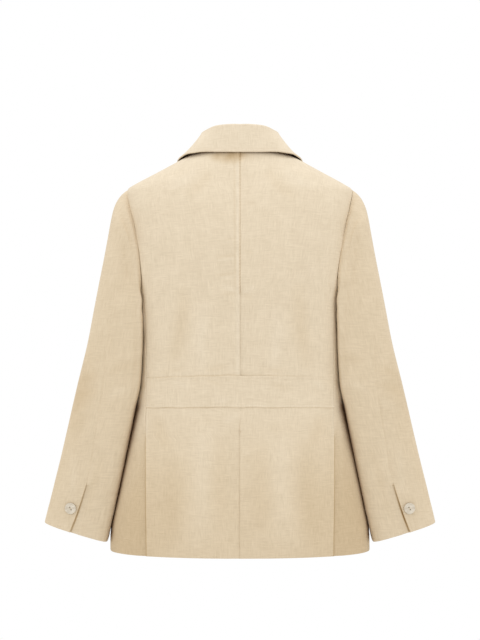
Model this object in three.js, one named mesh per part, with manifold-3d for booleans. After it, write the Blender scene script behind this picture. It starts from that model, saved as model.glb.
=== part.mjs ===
// A woman's unlined linen safari jacket, hollow and buttoned, in the shape it takes on a wearer.
// Millimetres. +Z is up, the wearer faces -Y, and +X is the wearer's left.
// The origin is the middle of the neck at the height where the shoulder seams meet the collar.
import * as THREE from "three";
import { mergeVertices } from "three/addons/utils/BufferGeometryUtils.js";
import Module from "manifold-3d";

const wasm = await Module();
wasm.setup();

// ---- Driving sizes ----
const CLOTH = 1.6; // one panel, with the allowances pressed behind it
const COLLAR_CLOTH = 2.2;
const LAPEL_CLOTH = 1.4;
const SEAM = 0.3; // clear gap between pieces that are sewn edge to edge
const HEM_Z = -699;

const NECK_RISE = 12; // the nape above the shoulder seams' inner ends
const SHOULDER = { z: -67 }; // the height of the shoulder seam's outer end
const BAND = { top: -390, bottom: -444, topDrop: 5, bottomDrop: 3, proud: 0.6, cloth: 1.9 };
const TUCK = { under: 12, depth: 2.0, flat: 8, slope: 18 }; // one layer passing under its neighbour
const BACK_PLEAT_Z = -250; // the back's centre pleat is free below this
const SKIRT_PLEAT_Z = -484; // and the skirt's below this
const SIDE_VENT_Z = -495;
const BREAK_Z = -290; // where the lapels start to turn back
const FRONT_OVERLAP = 18; // each front past the centre line
const UNDER_FRONT = { depth: 4.2, from: 52, to: 22 }; // the left front sinks behind the right one
const BUTTON = { radius: 10, rim: 3.2, well: 2.2, holeRadius: 1.15, holeOffset: 2.3, sides: 18 };
// Each front button's height, and how far it stands off the form to clear the front's flat facets.
const FRONT_BUTTONS = [
  { z: -303, clear: 0.1 },
  { z: -397, clear: 0.9 },
  { z: -491, clear: 0.5 },
];

const LINEN = { color: 0xdccbac, roughness: 0.95, metalness: 0 };
const SHELL_BUTTON = { color: 0xd9d3c2, roughness: 0.45, metalness: 0 };

// ---- Tables: one row for each level or section ----
// The body at each height: half its width, its depth behind and before the middle, and its squareness.
const BODY = [
  { z: 20, wide: 62, back: 55, front: 34, square: 2.15 },
  { z: 8, wide: 72, back: 60.5, front: 40, square: 2.15 },
  { z: 0, wide: 79, back: 64, front: 44, square: 2.15 },
  { z: -18, wide: 110, back: 73, front: 54, square: 2.15 },
  { z: -40, wide: 150, back: 84, front: 66, square: 2.2 },
  { z: -58, wide: 184, back: 91, front: 75, square: 2.2 },
  { z: -67, wide: 197, back: 95, front: 80, square: 2.2 },
  { z: -93, wide: 196, back: 104, front: 93, square: 2.2 },
  { z: -130, wide: 190, back: 113, front: 109, square: 2.2 },
  { z: -166, wide: 187, back: 118, front: 121, square: 2.2 },
  { z: -235, wide: 181, back: 119, front: 130, square: 2.2 },
  { z: -300, wide: 177, back: 114, front: 125, square: 2.25 },
  { z: -350, wide: 176, back: 109, front: 117, square: 2.25 },
  { z: -400, wide: 178, back: 106, front: 112, square: 2.25 },
  { z: -445, wide: 184, back: 107, front: 112, square: 2.25 },
  { z: -500, wide: 197, back: 112, front: 116, square: 2.2 },
  { z: -560, wide: 209.5, back: 117, front: 121, square: 2.2 },
  { z: -620, wide: 221, back: 120, front: 124, square: 2.2 },
  { z: -655, wide: 226.5, back: 121, front: 125, square: 2.2 },
  { z: -700, wide: 227.5, back: 121, front: 125, square: 2.2 },
];
// The seams between the back, the side panel and the front: half the width at which each one runs.
const SIDE_SEAMS = [
  { z: -235, back: 168.3, front: 166 },
  { z: -300, back: 164, front: 161 },
  { z: -390, back: 162, front: 157 },
  { z: -495, back: 163, front: 164 },
  { z: -700, back: 160, front: 170 },
];
// The sleeve below the underarm, ring by ring: its middle, its reach outwards and inwards, half its depth,
// its lean and its squareness.
const SLEEVE = [
  { x: 209.5, y: 24, z: -285, wide: 45, inner: 47, deep: 51, lean: 10, square: 2.7 },
  { x: 217.5, y: 25, z: -348, wide: 49.5, inner: 51, deep: 49, lean: 10.5, square: 2.6 },
  { x: 230, y: 24, z: -419, wide: 54, inner: 55.5, deep: 46, lean: 11.5, square: 2.45 },
  { x: 247, y: 21, z: -489, wide: 54, inner: 57.5, deep: 43, lean: 12.5, square: 2.35 },
  { x: 262.5, y: 17, z: -560, wide: 55.3, inner: 58.5, deep: 40, lean: 13, square: 2.3 },
  { x: 277.5, y: 13, z: -625, wide: 57, inner: 59, deep: 38, lean: 14.5, square: 2.25 },
  { x: 286.5, y: 11, z: -666, wide: 58, inner: 57, deep: 37, lean: 16.5, square: 2.2 },
];
// The collar, from the nape to the gorge: the direction round the neck, how far the stand rises
// and leans out, where the fall's edge lies, and how far the fall bows towards the shoulder.
const COLLAR = [
  { around: 0, rise: 29.5, out: 1, edgeX: 0, edgeY: 75, edgeZ: -9.4, bow: 0 },
  { around: 20, rise: 31.2, out: 0, edgeX: 28, edgeY: 73.5, edgeZ: -9.4, bow: 0 },
  { around: 40, rise: 32.8, out: -1, edgeX: 55, edgeY: 67.5, edgeZ: -9.4, bow: -0.5 },
  { around: 58, rise: 31.8, out: -6, edgeX: 78, edgeY: 56, edgeZ: -9, bow: -0.5 },
  { around: 74, rise: 31, out: -10, edgeX: 94, edgeY: 38, edgeZ: -7.5, bow: 0.5 },
  { around: 86, rise: 29, out: -13, edgeX: 103.5, edgeY: 19, edgeZ: -10.5, bow: 1.5 },
  { around: 96, rise: 25.5, out: -14, edgeX: 109, edgeY: 0, edgeZ: -13.5, bow: 1.5 },
  { around: 106, rise: 20, out: -12, edgeX: 112, edgeY: -20, edgeZ: -19.5, bow: 1.5 },
  { around: 116, rise: 12.5, out: -8, edgeX: 111, edgeY: -42, edgeZ: -30.5, bow: 0.8 },
  { around: 126, rise: 6, out: -3, edgeX: 106, edgeY: -63, edgeZ: -46, bow: 0 },
];

// ---- Small tools ----
const V = (x, y, z) => new THREE.Vector3(x, y, z);
const mix = THREE.MathUtils.lerp;
const rad = THREE.MathUtils.degToRad;

// Rises from 0 to 1 as v goes from one value to the other, in either order.
function smooth(v, from, to) {
  const way = Math.sign(to - from);
  return THREE.MathUtils.smoothstep(way * v, way * from, way * to);
}

const steps = (count) => Array.from({ length: count + 1 }, (_, i) => i / count);
const signedPower = (v, p) => Math.sign(v) * Math.abs(v) ** p;

// Reads one column of a table smoothly at any place along its key column.
function readTable(rows, key, column, at) {
  const down = rows[0][key] > rows.at(-1)[key] ? -1 : 1;
  const place = THREE.MathUtils.clamp(at * down, rows[0][key] * down, rows.at(-1)[key] * down);
  let i = 0;
  while (i < rows.length - 2 && place > rows[i + 1][key] * down) i++;
  const slope = (k) => {
    const a = rows[Math.max(k - 1, 0)];
    const b = rows[Math.min(k + 1, rows.length - 1)];
    return (b[column] - a[column]) / ((b[key] - a[key]) * down);
  };
  const [p, q] = [rows[i], rows[i + 1]];
  const gap = (q[key] - p[key]) * down;
  const t = (place - p[key] * down) / gap;
  return hermite(t, p[column], q[column], slope(i) * gap, slope(i + 1) * gap);
}

function hermite(t, a, b, slopeA, slopeB) {
  const t2 = t * t;
  const t3 = t2 * t;
  const places = (2 * t3 - 3 * t2 + 1) * a + (3 * t2 - 2 * t3) * b;
  return places + (t3 - 2 * t2 + t) * slopeA + (t3 - t2) * slopeB;
}

const index = (rows) => rows.map((row, i) => ({ ...row, i }));
const hermiteVector = (t, a, b, slopeA, slopeB) =>
  V(...["x", "y", "z"].map((k) => hermite(t, a[k], b[k], slopeA[k], slopeB[k])));

// ---- The body's form ----
function bodySize(z, y) {
  const read = (column) => readTable(BODY, "z", column, z);
  return { wide: read("wide"), deep: read(y < 0 ? "front" : "back"), square: read("square") };
}

// A point of the body's form at a height, in a direction round it: 0 is the back's middle and 90 the side.
function bodyAt(around, z) {
  const [s, c] = [Math.sin(rad(around)), Math.cos(rad(around))];
  const { wide, deep, square } = bodySize(z, c);
  const r = (Math.abs(s / wide) ** square + Math.abs(c / deep) ** square) ** (-1 / square);
  return V(r * s, r * c, z);
}

// A point of the body's form at a height, as far from the middle plane as x says, before or behind.
function bodyAcross(x, z, before) {
  const { wide, deep, square } = bodySize(z, before ? -1 : 1);
  const share = Math.max(0, 1 - Math.abs(x / wide) ** square);
  return V(x, (before ? -1 : 1) * deep * share ** (1 / square), z);
}

// How far outside the form a point is, as a share of the form's own size.
function outside({ x, y, z }) {
  const { wide, deep, square } = bodySize(z, y);
  return Math.abs(x / wide) ** square + Math.abs(y / deep) ** square - 1;
}

function bodySlope(p) {
  const h = 0.02;
  const at = (d, way) => outside(p.clone().addScaledVector(d, way * h));
  const along = (d) => (at(d, 1) - at(d, -1)) / (2 * h);
  return V(along(V(1, 0, 0)), along(V(0, 1, 0)), along(V(0, 0, 1)));
}

const bodyNormal = (p) => bodySlope(p).normalize();

// Moves a point that is near the body's form onto it.
function settle(p) {
  const q = p.clone();
  for (let i = 0; i < 8; i++) {
    const g = bodySlope(q);
    q.addScaledVector(g, -outside(q) / Math.max(g.lengthSq(), 1e-9));
  }
  return q;
}

// ---- Seam lines on the body, drawn for the wearer's left half ----
const ARMHOLE = {
  middle: (SHOULDER.z - 264) / 2,
  half: (SHOULDER.z + 264) / 2,
  wide: 46,
  egg: 28,
  scoop: 16,
  front: 1.08,
  backSeam: 140, // where the side panel's seams reach it, in degrees from the top, backwards first
  frontSeam: 222,
};

function armhole(turn) {
  const [s, c] = [Math.sin(rad(turn)), Math.cos(rad(turn))];
  const y = s * (ARMHOLE.wide - ARMHOLE.egg * c + ARMHOLE.scoop * c * c) * (s < 0 ? ARMHOLE.front : 1);
  const z = ARMHOLE.middle + ARMHOLE.half * c;
  const { wide, deep, square } = bodySize(z, y);
  return V(wide * (1 - Math.abs(y / deep) ** square) ** (1 / square), y, z);
}

const neckZ = (around) =>
  around <= 90 ? NECK_RISE * Math.cos(rad(around)) ** 2 : -GORGE_DROP * smooth(around, 90, GORGE_AROUND);
const GORGE_AROUND = 127; // where the neck seam ends at the lapel's roll
const GORGE_DROP = 15; // below the shoulder seams' inner ends
const neckline = (around) => bodyAt(around, neckZ(around));
const shoulderSeam = (share) => bodyAt(90, mix(0, SHOULDER.z, share));
const sideSeam = (side, z) => bodyAcross(readTable(SIDE_SEAMS, "z", side, z), z, side === "front");
const bandTop = (x) => bodyAcross(x, BAND.top - BAND.topDrop * (x / 162) ** 2, false);
const bandBottom = (x) => bodyAcross(x, BAND.bottom - BAND.bottomDrop * (x / 162) ** 2, false);
const gorge = neckline(GORGE_AROUND);

// The line where the lapel turns back, from the front edge up to the neck seam.
function rollLine(share) {
  return bodyAcross(mix(-FRONT_OVERLAP, gorge.x, share), mix(BREAK_Z, gorge.z, share), true);
}

// Joins curves end to end: each entry is [share of the way at which it ends, curve of 0 to 1].
function chain(...parts) {
  return (t) => {
    let from = 0;
    for (const [to, curve] of parts) {
      if (t <= to + 1e-9) return curve((t - from) / (to - from));
      from = to;
    }
    return parts.at(-1)[1](1);
  };
}

// ---- Making solids ----
// A closed wall from a grid of points on its outer face, each with the outward direction there.
function wall(points, normals, cloth) {
  const [rows, cols] = [points.length, points[0].length];
  const position = [];
  for (const row of points) for (const p of row) position.push(p.x, p.y, p.z);
  points.forEach((row, i) =>
    row.forEach((p, j) => {
      const q = p.clone().addScaledVector(normals[i][j], -cloth);
      position.push(q.x, q.y, q.z);
    }),
  );
  const outer = (i, j) => i * cols + j;
  const inner = (i, j) => rows * cols + outer(i, j);
  const faces = [];
  const quad = (a, b, c, d) => faces.push(a, b, c, a, c, d);
  for (let i = 0; i < rows - 1; i++)
    for (let j = 0; j < cols - 1; j++) {
      quad(outer(i, j), outer(i, j + 1), outer(i + 1, j + 1), outer(i + 1, j));
      quad(inner(i, j), inner(i + 1, j), inner(i + 1, j + 1), inner(i, j + 1));
    }
  for (let i = 0; i < rows - 1; i++) {
    quad(outer(i, 0), outer(i + 1, 0), inner(i + 1, 0), inner(i, 0));
    quad(outer(i + 1, cols - 1), outer(i, cols - 1), inner(i, cols - 1), inner(i + 1, cols - 1));
  }
  for (let j = 0; j < cols - 1; j++) {
    quad(outer(0, j + 1), outer(0, j), inner(0, j), inner(0, j + 1));
    quad(outer(rows - 1, j), outer(rows - 1, j + 1), inner(rows - 1, j + 1), inner(rows - 1, j));
  }
  const geometry = new THREE.BufferGeometry();
  geometry.setAttribute("position", new THREE.Float32BufferAttribute(position, 3));
  geometry.setIndex(faces);
  return signedVolume(geometry) < 0 ? turnedOut(geometry) : geometry;
}

function signedVolume(geometry) {
  const p = geometry.getAttribute("position");
  const at = (k) => V(p.getX(k), p.getY(k), p.getZ(k));
  const f = geometry.index.array;
  let sum = 0;
  for (let i = 0; i < f.length; i += 3) sum += at(f[i]).dot(at(f[i + 1]).cross(at(f[i + 2])));
  return sum;
}

function turnedOut(geometry) {
  const f = geometry.index.array;
  for (let i = 0; i < f.length; i += 3) [f[i + 1], f[i + 2]] = [f[i + 2], f[i + 1]];
  return geometry;
}

// Moves the edge points of a grid back by half the seam gap.
function seamGap(points, gap = SEAM) {
  const [rows, cols] = [points.length, points[0].length];
  const back = (p, from) => p.clone().addScaledVector(from.clone().sub(p).normalize(), gap / 2);
  const out = points.map((row) => row.map((p) => p.clone()));
  for (let i = 0; i < rows; i++) {
    out[i][0] = back(out[i][0], points[i][1]);
    out[i][cols - 1] = back(out[i][cols - 1], points[i][cols - 2]);
  }
  for (let j = 0; j < cols; j++) {
    out[0][j] = back(out[0][j], points[1][j]);
    out[rows - 1][j] = back(out[rows - 1][j], points[rows - 2][j]);
  }
  return out;
}

// Sinks the first column of a grid below a height and carries it under the neighbouring piece,
// whose nearest inner column is given row by row.
function tuckUnder(points, neighbour, below) {
  return points.map((row, i) => {
    if (row[0].z > below + 0.1) return row;
    const out = row.map((p) => p.clone());
    if (row[0].z < below - TUCK.flat) {
      const away = neighbour[i].clone().sub(row[0]);
      out[0].addScaledVector(away, TUCK.under / away.length());
    }
    for (const k of [0, 1]) out[k].addScaledVector(bodyNormal(out[k]), -TUCK.depth);
    return out;
  });
}

const pieces = new THREE.Group();

function add(name, geometry, finish = LINEN) {
  const mesh = new THREE.Mesh(geometry, new THREE.MeshStandardMaterial(finish));
  mesh.name = name;
  pieces.add(mesh);
}

const mirror = (points) => points.map((row) => row.map((p) => V(-p.x, p.y, p.z)));
const SIDES = [
  { name: "left", flip: (points) => points },
  { name: "right", flip: mirror },
];

// A panel whose outer face is a grid of points near the body's form, moved out by lift, for one side.
function panel(name, side, points, { lift = () => 0, cloth = CLOTH } = {}) {
  const placed = points.map((row) => row.map((p) => p.clone().addScaledVector(bodyNormal(p), lift(p))));
  const normals = placed.map((row) => row.map(bodyNormal));
  add(name + "_" + side.name, wall(side.flip(placed), side.flip(normals), cloth));
}

// ---- Levels: the heights of the rows that the body's panels share at their seams ----
const LEVELS = [
  { back: HEM_Z, front: HEM_Z },
  { back: -655, front: -655 },
  { back: -612, front: -612 },
  { back: -573, front: -573 },
  { back: -535, front: -535 },
  { back: SIDE_VENT_Z - TUCK.flat - 1, front: -504 },
  { back: SIDE_VENT_Z - TUCK.flat + 1, front: -500 },
  { back: SIDE_VENT_Z, front: -492 },
  { back: -466, front: -458 },
  { back: BAND.bottom - BAND.bottomDrop, front: -444 },
  { back: -421, front: -421 },
  { back: BAND.top - BAND.topDrop, front: -395 },
  { back: -350, front: -350 },
  { back: -300, front: -305 },
  { back: -266, front: -270 },
  { back: armhole(ARMHOLE.backSeam).z, front: armhole(ARMHOLE.frontSeam).z },
];
const BAND_LEVEL = 9; // the row at the band's lower edge; its upper edge is two rows up
const SEAM_TOP = LEVELS.length - 1;
const BREAK_LEVEL = 13; // the row at whose front end the lapel starts
const ARMHOLE_ROWS = 10;
const armholeRows = steps(ARMHOLE_ROWS).slice(1);

const backSeamPoints = LEVELS.map(({ back }) => sideSeam("back", back));
const frontSeamPoints = LEVELS.map(({ front }) => sideSeam("front", front));
backSeamPoints[SEAM_TOP] = armhole(ARMHOLE.backSeam);
frontSeamPoints[SEAM_TOP] = armhole(ARMHOLE.frontSeam);

// A grid over rows whose two ends are given, filled between its lowest and highest rows.
function fill(columns, inner, outer, bottom, top) {
  const last = inner.length - 1;
  const climbed = (i) => inner[i].z - inner[0].z + outer[i].z - outer[0].z;
  return inner.map((a, i) => {
    const b = outer[i];
    const share = climbed(i) / climbed(last);
    return columns.map((s) => {
      if (s === 0) return a.clone();
      if (s === 1) return b.clone();
      if (i === 0) return bottom(s);
      if (i === last) return top(s);
      const p = a.clone().lerp(b, s);
      const low = bottom(s).sub(inner[0].clone().lerp(outer[0], s));
      const high = top(s).sub(inner[last].clone().lerp(outer[last], s));
      return settle(p.addScaledVector(low, 1 - share).addScaledVector(high, share));
    });
  });
}

// ---- Back ----
const BACK_COLUMNS = [0, 0.05, 0.11, 0.22, 0.33, 0.44, 0.56, 0.67, 0.78, 0.89, 1];
const NECK_SHARE = 0.44; // of the back's top edge is neck, and the rest is shoulder

function backGrid() {
  const outer = [
    ...backSeamPoints.slice(BAND_LEVEL + 2),
    ...armholeRows.map((u) => armhole(ARMHOLE.backSeam * (1 - u))),
  ];
  const inner = BACK_CENTRE_Z.map((z) => bodyAt(0, z));
  const top = chain([NECK_SHARE, (u) => neckline(90 * u)], [1, shoulderSeam]);
  return fill(BACK_COLUMNS, inner, outer, (s) => bandTop(s * outer[0].x), top);
}

// The back's rows at the centre seam, from the band to the nape.
const BACK_CENTRE_Z = [
  BAND.top, -358, -325, -292, BACK_PLEAT_Z - TUCK.flat - 1, BACK_PLEAT_Z - TUCK.flat + 1, BACK_PLEAT_Z,
  -212, -176, -142, -110, -78, -48, -18, NECK_RISE,
];

function skirtGrid() {
  const outer = backSeamPoints.slice(0, BAND_LEVEL + 1);
  const inner = SKIRT_CENTRE_Z.map((z) => bodyAt(0, z));
  return fill(
    BACK_COLUMNS,
    inner,
    outer,
    (s) => bodyAcross(s * outer[0].x, HEM_Z, false),
    (s) => bandBottom(s * outer.at(-1).x),
  );
}

// The skirt's rows at the centre seam, from the hem to the band.
const SKIRT_CENTRE_Z = [
  HEM_Z, -655, -612, -573, -535,
  SKIRT_PLEAT_Z - TUCK.flat - 1, SKIRT_PLEAT_Z - TUCK.flat + 1, SKIRT_PLEAT_Z,
  -464, BAND.bottom,
];

const overCentre = (points) => points.map((row) => V(-row[2].x, row[2].y, row[2].z));

function buildBack(side) {
  const points = backGrid();
  const set = seamGap(points);
  const under = side.name === "right";
  panel("back", side, under ? tuckUnder(set, overCentre(points), BACK_PLEAT_Z - 0.2) : set);
}

function buildSkirt(side) {
  const points = skirtGrid();
  const set = seamGap(points);
  const under = side.name === "left";
  panel("back_skirt", side, under ? tuckUnder(set, overCentre(points), SKIRT_PLEAT_Z - 0.2) : set);
}

function buildBand() {
  const ends = [0, 1, 2].map((i) => backSeamPoints[BAND_LEVEL + i].x);
  const half = BACK_COLUMNS.map((share) => {
    const [p, q] = [bandBottom(share * ends[0]), bandTop(share * ends[2])];
    return [p, bodyAcross(share * ends[1], mix(p.z, q.z, 0.5), false), q];
  });
  const whole = [...mirror(half.slice(1)).reverse(), ...half];
  const points = [0, 1, 2].map((i) => whole.map((column) => column[i]));
  const placed = seamGap(points).map((row) => row.map((p) => p.addScaledVector(bodyNormal(p), BAND.proud)));
  add("back_band", wall(placed, placed.map((row) => row.map(bodyNormal)), BAND.cloth));
}

// ---- Side panels ----
const SIDE_COLUMNS = [0, 0.08, 0.18, 0.3, 0.42, 0.54, 0.66, 0.78, 0.89, 1];

function buildSidePanel(side) {
  const [a, b] = [ARMHOLE.backSeam, ARMHOLE.frontSeam];
  const direction = (p) => THREE.MathUtils.radToDeg(Math.atan2(p.x, p.y));
  const level = (i, s) => mix(LEVELS[i].back, LEVELS[i].front, s);
  const points = LEVELS.map((_, i) =>
    SIDE_COLUMNS.map((s) => {
      if (s === 0) return backSeamPoints[i].clone();
      if (s === 1) return frontSeamPoints[i].clone();
      if (i === SEAM_TOP) return armhole(mix(a, b, s));
      const dip = armhole(mix(a, b, s)).z - level(SEAM_TOP, s); // of the underarm below the two seams' ends
      const turn = mix(direction(backSeamPoints[i]), direction(frontSeamPoints[i]), s);
      return bodyAt(turn, level(i, s) + dip * (i / SEAM_TOP) ** 3);
    }),
  );
  const skirtNeighbour = skirtGrid().map((row) => row.at(-2));
  const set = tuckUnder(seamGap(points), skirtNeighbour, SIDE_VENT_Z - 0.2);
  panel("side_panel", side, set);
}

// ---- Fronts ----
const FRONT_COLUMNS = [0, 0.075, 0.15, 0.225, 0.3, 0.385, 0.49, 0.6, 0.71, 0.82, 0.92, 1];
const FRONT_NECK_SHARE = 0.3;
const FRONT_EDGE_Z = [
  HEM_Z, -655, -612, -573, -535, -504, -500, -492, -458, -444, -421, -395, -345, BREAK_Z,
];
// Each pocket's sides, the grid columns and rows that it covers, its heights,
// and its flap's height and depth.
const POCKETS = [
  {
    name: "hip_pocket", from: 52, to: 156, columns: [5, 10], rows: [2, 8],
    bottom: -612, top: -458, flapTop: -444, flap: 56,
  },
  {
    name: "chest_pocket", from: 76, to: 150, columns: [6, 10], rows: [13, 16],
    bottom: -305, top: -207, flapTop: -193, flap: 40,
  },
];
const POCKET = { cloth: 1.2, inset: 2, point: 7, flapEase: 0.5 };

const frontLift = (side) => (p) =>
  side.name === "left" ? -UNDER_FRONT.depth * smooth(p.x, UNDER_FRONT.from, UNDER_FRONT.to) : 0;

function frontGrid() {
  const rollRows = LEVELS.length - 1 - BREAK_LEVEL + ARMHOLE_ROWS;
  const inner = [
    ...FRONT_EDGE_Z.map((z) => bodyAcross(-FRONT_OVERLAP, z, true)),
    ...steps(rollRows).slice(1).map(rollLine),
  ];
  const outer = [...frontSeamPoints, ...armholeRows.map((u) => armhole(mix(ARMHOLE.frontSeam, 360, u)))];
  const top = chain([FRONT_NECK_SHARE, (u) => neckline(mix(GORGE_AROUND, 90, u))], [1, shoulderSeam]);
  const points = fill(
    FRONT_COLUMNS,
    inner,
    outer,
    (s) => bodyAcross(mix(-FRONT_OVERLAP, outer[0].x, s), HEM_Z, true),
    top,
  );
  for (const pocket of POCKETS) squareUp(points, pocket);
  return points;
}

// Moves the grid's points under a pocket and its flap onto the pocket's upright columns and level rows.
function squareUp(points, { columns, rows, from, to, bottom, top, flapTop }) {
  const levels = points.map((row) => row[columns[0]].z);
  const span = (i) => (levels[i] - levels[rows[0]]) / (levels[rows[1]] - levels[rows[0]]);
  for (let i = rows[0]; i <= rows[1] + 1; i++)
    for (let j = columns[0]; j <= columns[1]; j++) {
      const x = mix(from, to, (j - columns[0]) / (columns[1] - columns[0]));
      points[i][j] = bodyAcross(x, i > rows[1] ? flapTop : mix(bottom, top, span(i)), true);
    }
}

function buildFront(side) {
  panel("front", side, seamGap(frontGrid()), { lift: frontLift(side) });
}

// ---- Patch pockets and flaps, cut from the front's own points and moved out ----
function insetEnds(row) {
  const inset = (p, from) => p.clone().addScaledVector(from.clone().sub(p).normalize(), POCKET.inset);
  return [inset(row[0], row[1]), ...row.slice(1, -1), inset(row.at(-1), row.at(-2))];
}

function buildPocket(side, pocket) {
  const under = frontGrid().map((row) => row.slice(pocket.columns[0], pocket.columns[1] + 1));
  const [low, high] = pocket.rows;
  const lift = SEAM + POCKET.cloth;
  const bag = under.slice(low, high + 1).map(insetEnds);
  panel(pocket.name, side, bag, { lift: () => lift, cloth: POCKET.cloth });
  const edgeZ = pocket.flapTop - pocket.flap;
  const at = (j, z) => {
    let i = low;
    while (under[i + 1][j].z < z) i++;
    const [p, q] = [under[i][j], under[i + 1][j]];
    return p.clone().lerp(q, (z - p.z) / (q.z - p.z));
  };
  const last = under[0].length - 1;
  const hem = under[0].map((_, j) => at(j, edgeZ - POCKET.point * (1 - Math.abs((2 * j) / last - 1))));
  const kept = under.slice(low, high + 2).filter((row) => row[0].z > edgeZ + 6);
  const flapLift = lift + SEAM + POCKET.flapEase + POCKET.cloth;
  panel(pocket.name + "_flap", side, [hem, ...kept], { lift: () => flapLift, cloth: POCKET.cloth });
}

// ---- Lapels: the top of each front, turned back and lying on it ----
const LAPEL = {
  notchShare: 0.62, tipX: 121, tipZ: -80, belly: 9, clear: 0.5, roll: 1.3, gorgeClear: 2.3, foot: 3,
};

function buildLapel(side) {
  const end = COLLAR.at(-1);
  const notch = {
    x: mix(gorge.x, end.edgeX, LAPEL.notchShare),
    z: mix(gorge.z, end.edgeZ, LAPEL.notchShare),
  };
  const rollAt = (v) => ({
    x: mix(-FRONT_OVERLAP, gorge.x, v),
    z: mix(BREAK_Z, gorge.z - LAPEL.gorgeClear, v),
  });
  const topAt = (u) => {
    const share = u / LAPEL.notchShare;
    return share < 1
      ? { x: mix(gorge.x, notch.x, share), z: mix(gorge.z, notch.z, share) - LAPEL.gorgeClear }
      : {
          x: mix(notch.x, LAPEL.tipX, (u - LAPEL.notchShare) / (1 - LAPEL.notchShare)),
          z: mix(notch.z, LAPEL.tipZ, (u - LAPEL.notchShare) / (1 - LAPEL.notchShare)) - LAPEL.gorgeClear,
        };
  };
  const outerAt = (v) => ({
    x: mix(LAPEL.foot - FRONT_OVERLAP, LAPEL.tipX, v) + LAPEL.belly * Math.sin(Math.PI * v),
    z: mix(BREAK_Z, LAPEL.tipZ - LAPEL.gorgeClear, v),
  });
  const surface = (u, v) => {
    const [roll, out, top] = [rollAt(v), outerAt(v), topAt(u)];
    const [roll1, out1] = [rollAt(1), outerAt(1)];
    const at = (k) => mix(roll[k], out[k], u) + v ** 3 * (top[k] - mix(roll1[k], out1[k], u));
    return bodyAcross(at("x"), at("z"), true);
  };
  const columns = [0, 0.12, 0.28, 0.45, 0.62, 0.81, 1];
  const points = steps(12).map((v) =>
    columns.map((u) => {
      const p = surface(u, v);
      const roll = LAPEL.roll * Math.min(1, u / 0.12) * smooth(v, 0.15, 0.4);
      return p.addScaledVector(bodyNormal(p), frontLift(side)(p) + LAPEL.clear + LAPEL_CLOTH + roll);
    }),
  );
  panel("lapel", side, points, { cloth: LAPEL_CLOTH });
}

// ---- Collar: stand and fall in one, folded along the roll ----
const ROLL = 2.7; // radius of the fold, to the middle of the cloth
const STAND_CLEAR = 1; // the stand's foot above the neck seam
const COLLAR_PLACES = [0, 10.2, 22.5, 34, 45, 56, 67.5, 79, 90, 99.25, 108.5, 117.75, 126];

// The collar's cut in one direction round the neck, from the foot of the stand over the fold
// to the fall's edge.
function collarSection(at) {
  const read = (column) => readTable(COLLAR, "around", column, at);
  const seam = neckline(at);
  const outward = V(seam.x, seam.y, 0).normalize();
  const roll = seam.clone().addScaledVector(outward, read("out")).add(V(0, 0, read("rise")));
  const edge = V(read("edgeX"), read("edgeY"), read("edgeZ"));
  const radius = Math.min(ROLL, read("rise") / 3);
  const side = (share, up) => {
    const out = roll.clone().addScaledVector(outward, radius * share);
    return out.add(V(0, 0, radius * (up - 1)));
  };
  const foot = seam.clone().addScaledVector(roll.clone().sub(seam).normalize(), STAND_CLEAR);
  const standTop = side(-1, 0);
  const fallTop = side(1, 0);
  const bow = V(-outward.x, -outward.y, -1).normalize().multiplyScalar(read("bow"));
  const fall = (t) => fallTop.clone().lerp(edge, t).addScaledVector(bow, 4 * t * (1 - t));
  return [
    foot,
    foot.clone().lerp(standTop, 0.5),
    standTop,
    side(-Math.SQRT1_2, Math.SQRT1_2),
    side(0, 1),
    side(Math.SQRT1_2, Math.SQRT1_2),
    fallTop,
    fall(0.25),
    fall(0.5),
    fall(0.75),
    edge,
  ];
}

function buildCollar() {
  const half = COLLAR_PLACES.map(collarSection);
  const full = [...mirror(half.slice(1)).reverse(), ...half];
  const normals = full.map((row, i) =>
    row.map((p, j) => {
      const across = full[Math.min(i + 1, full.length - 1)][j].clone().sub(full[Math.max(i - 1, 0)][j]);
      const along = row[Math.min(j + 1, row.length - 1)].clone().sub(row[Math.max(j - 1, 0)]);
      return along.cross(across).normalize();
    }),
  );
  const raise = (p, normal) => p.clone().addScaledVector(normal, COLLAR_CLOTH / 2);
  const outer = full.map((row, i) => row.map((p, j) => raise(p, normals[i][j])));
  add("collar", wall(outer, normals, COLLAR_CLOTH));
}

// ---- Sleeves ----
const SLEEVE_ROWS = index(SLEEVE);
const SLEEVE_CLEAR = 2; // between the sleeve and the body below the underarm
const SLEEVE_SEAM = 0.5; // the sleeve's clear gap at its seams, which twist
// The cap's sweep from the armhole: its directions as it leaves, and how strongly each end holds them.
const CAP = {
  lowOff: 0.6, backward: 0.55, topDrop: 0.55, lowDrop: 1.1,
  pull: 75, lowPull: 26, widePull: 130, ringPull: 0.9, half: 0.35,
};
// The ring that the cap's top passes.
const CROWN = { x: 183, y: 14, z: -140, wide: 45, inner: 45, deep: 51, lean: 10, square: 2.5 };

function ringPoint({ x, y, z, wide, inner, deep, lean, square }, turn) {
  const [s, c] = [Math.sin(rad(turn)), Math.cos(rad(turn))];
  const reach = c > 0 ? wide : inner;
  const r = (Math.abs(c / reach) ** square + Math.abs(s / deep) ** square) ** (-1 / square);
  return V(x + r * c * Math.cos(rad(lean)), y + r * s, z + r * c * Math.sin(rad(lean)));
}

// A point of the sleeve's ring at any place along the table, in a direction round it from the
// outside backwards.
function ringAt(place, turn) {
  const ring = {};
  for (const column of Object.keys(CROWN)) ring[column] = readTable(SLEEVE_ROWS, "i", column, place);
  return ringPoint(ring, turn);
}

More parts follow.
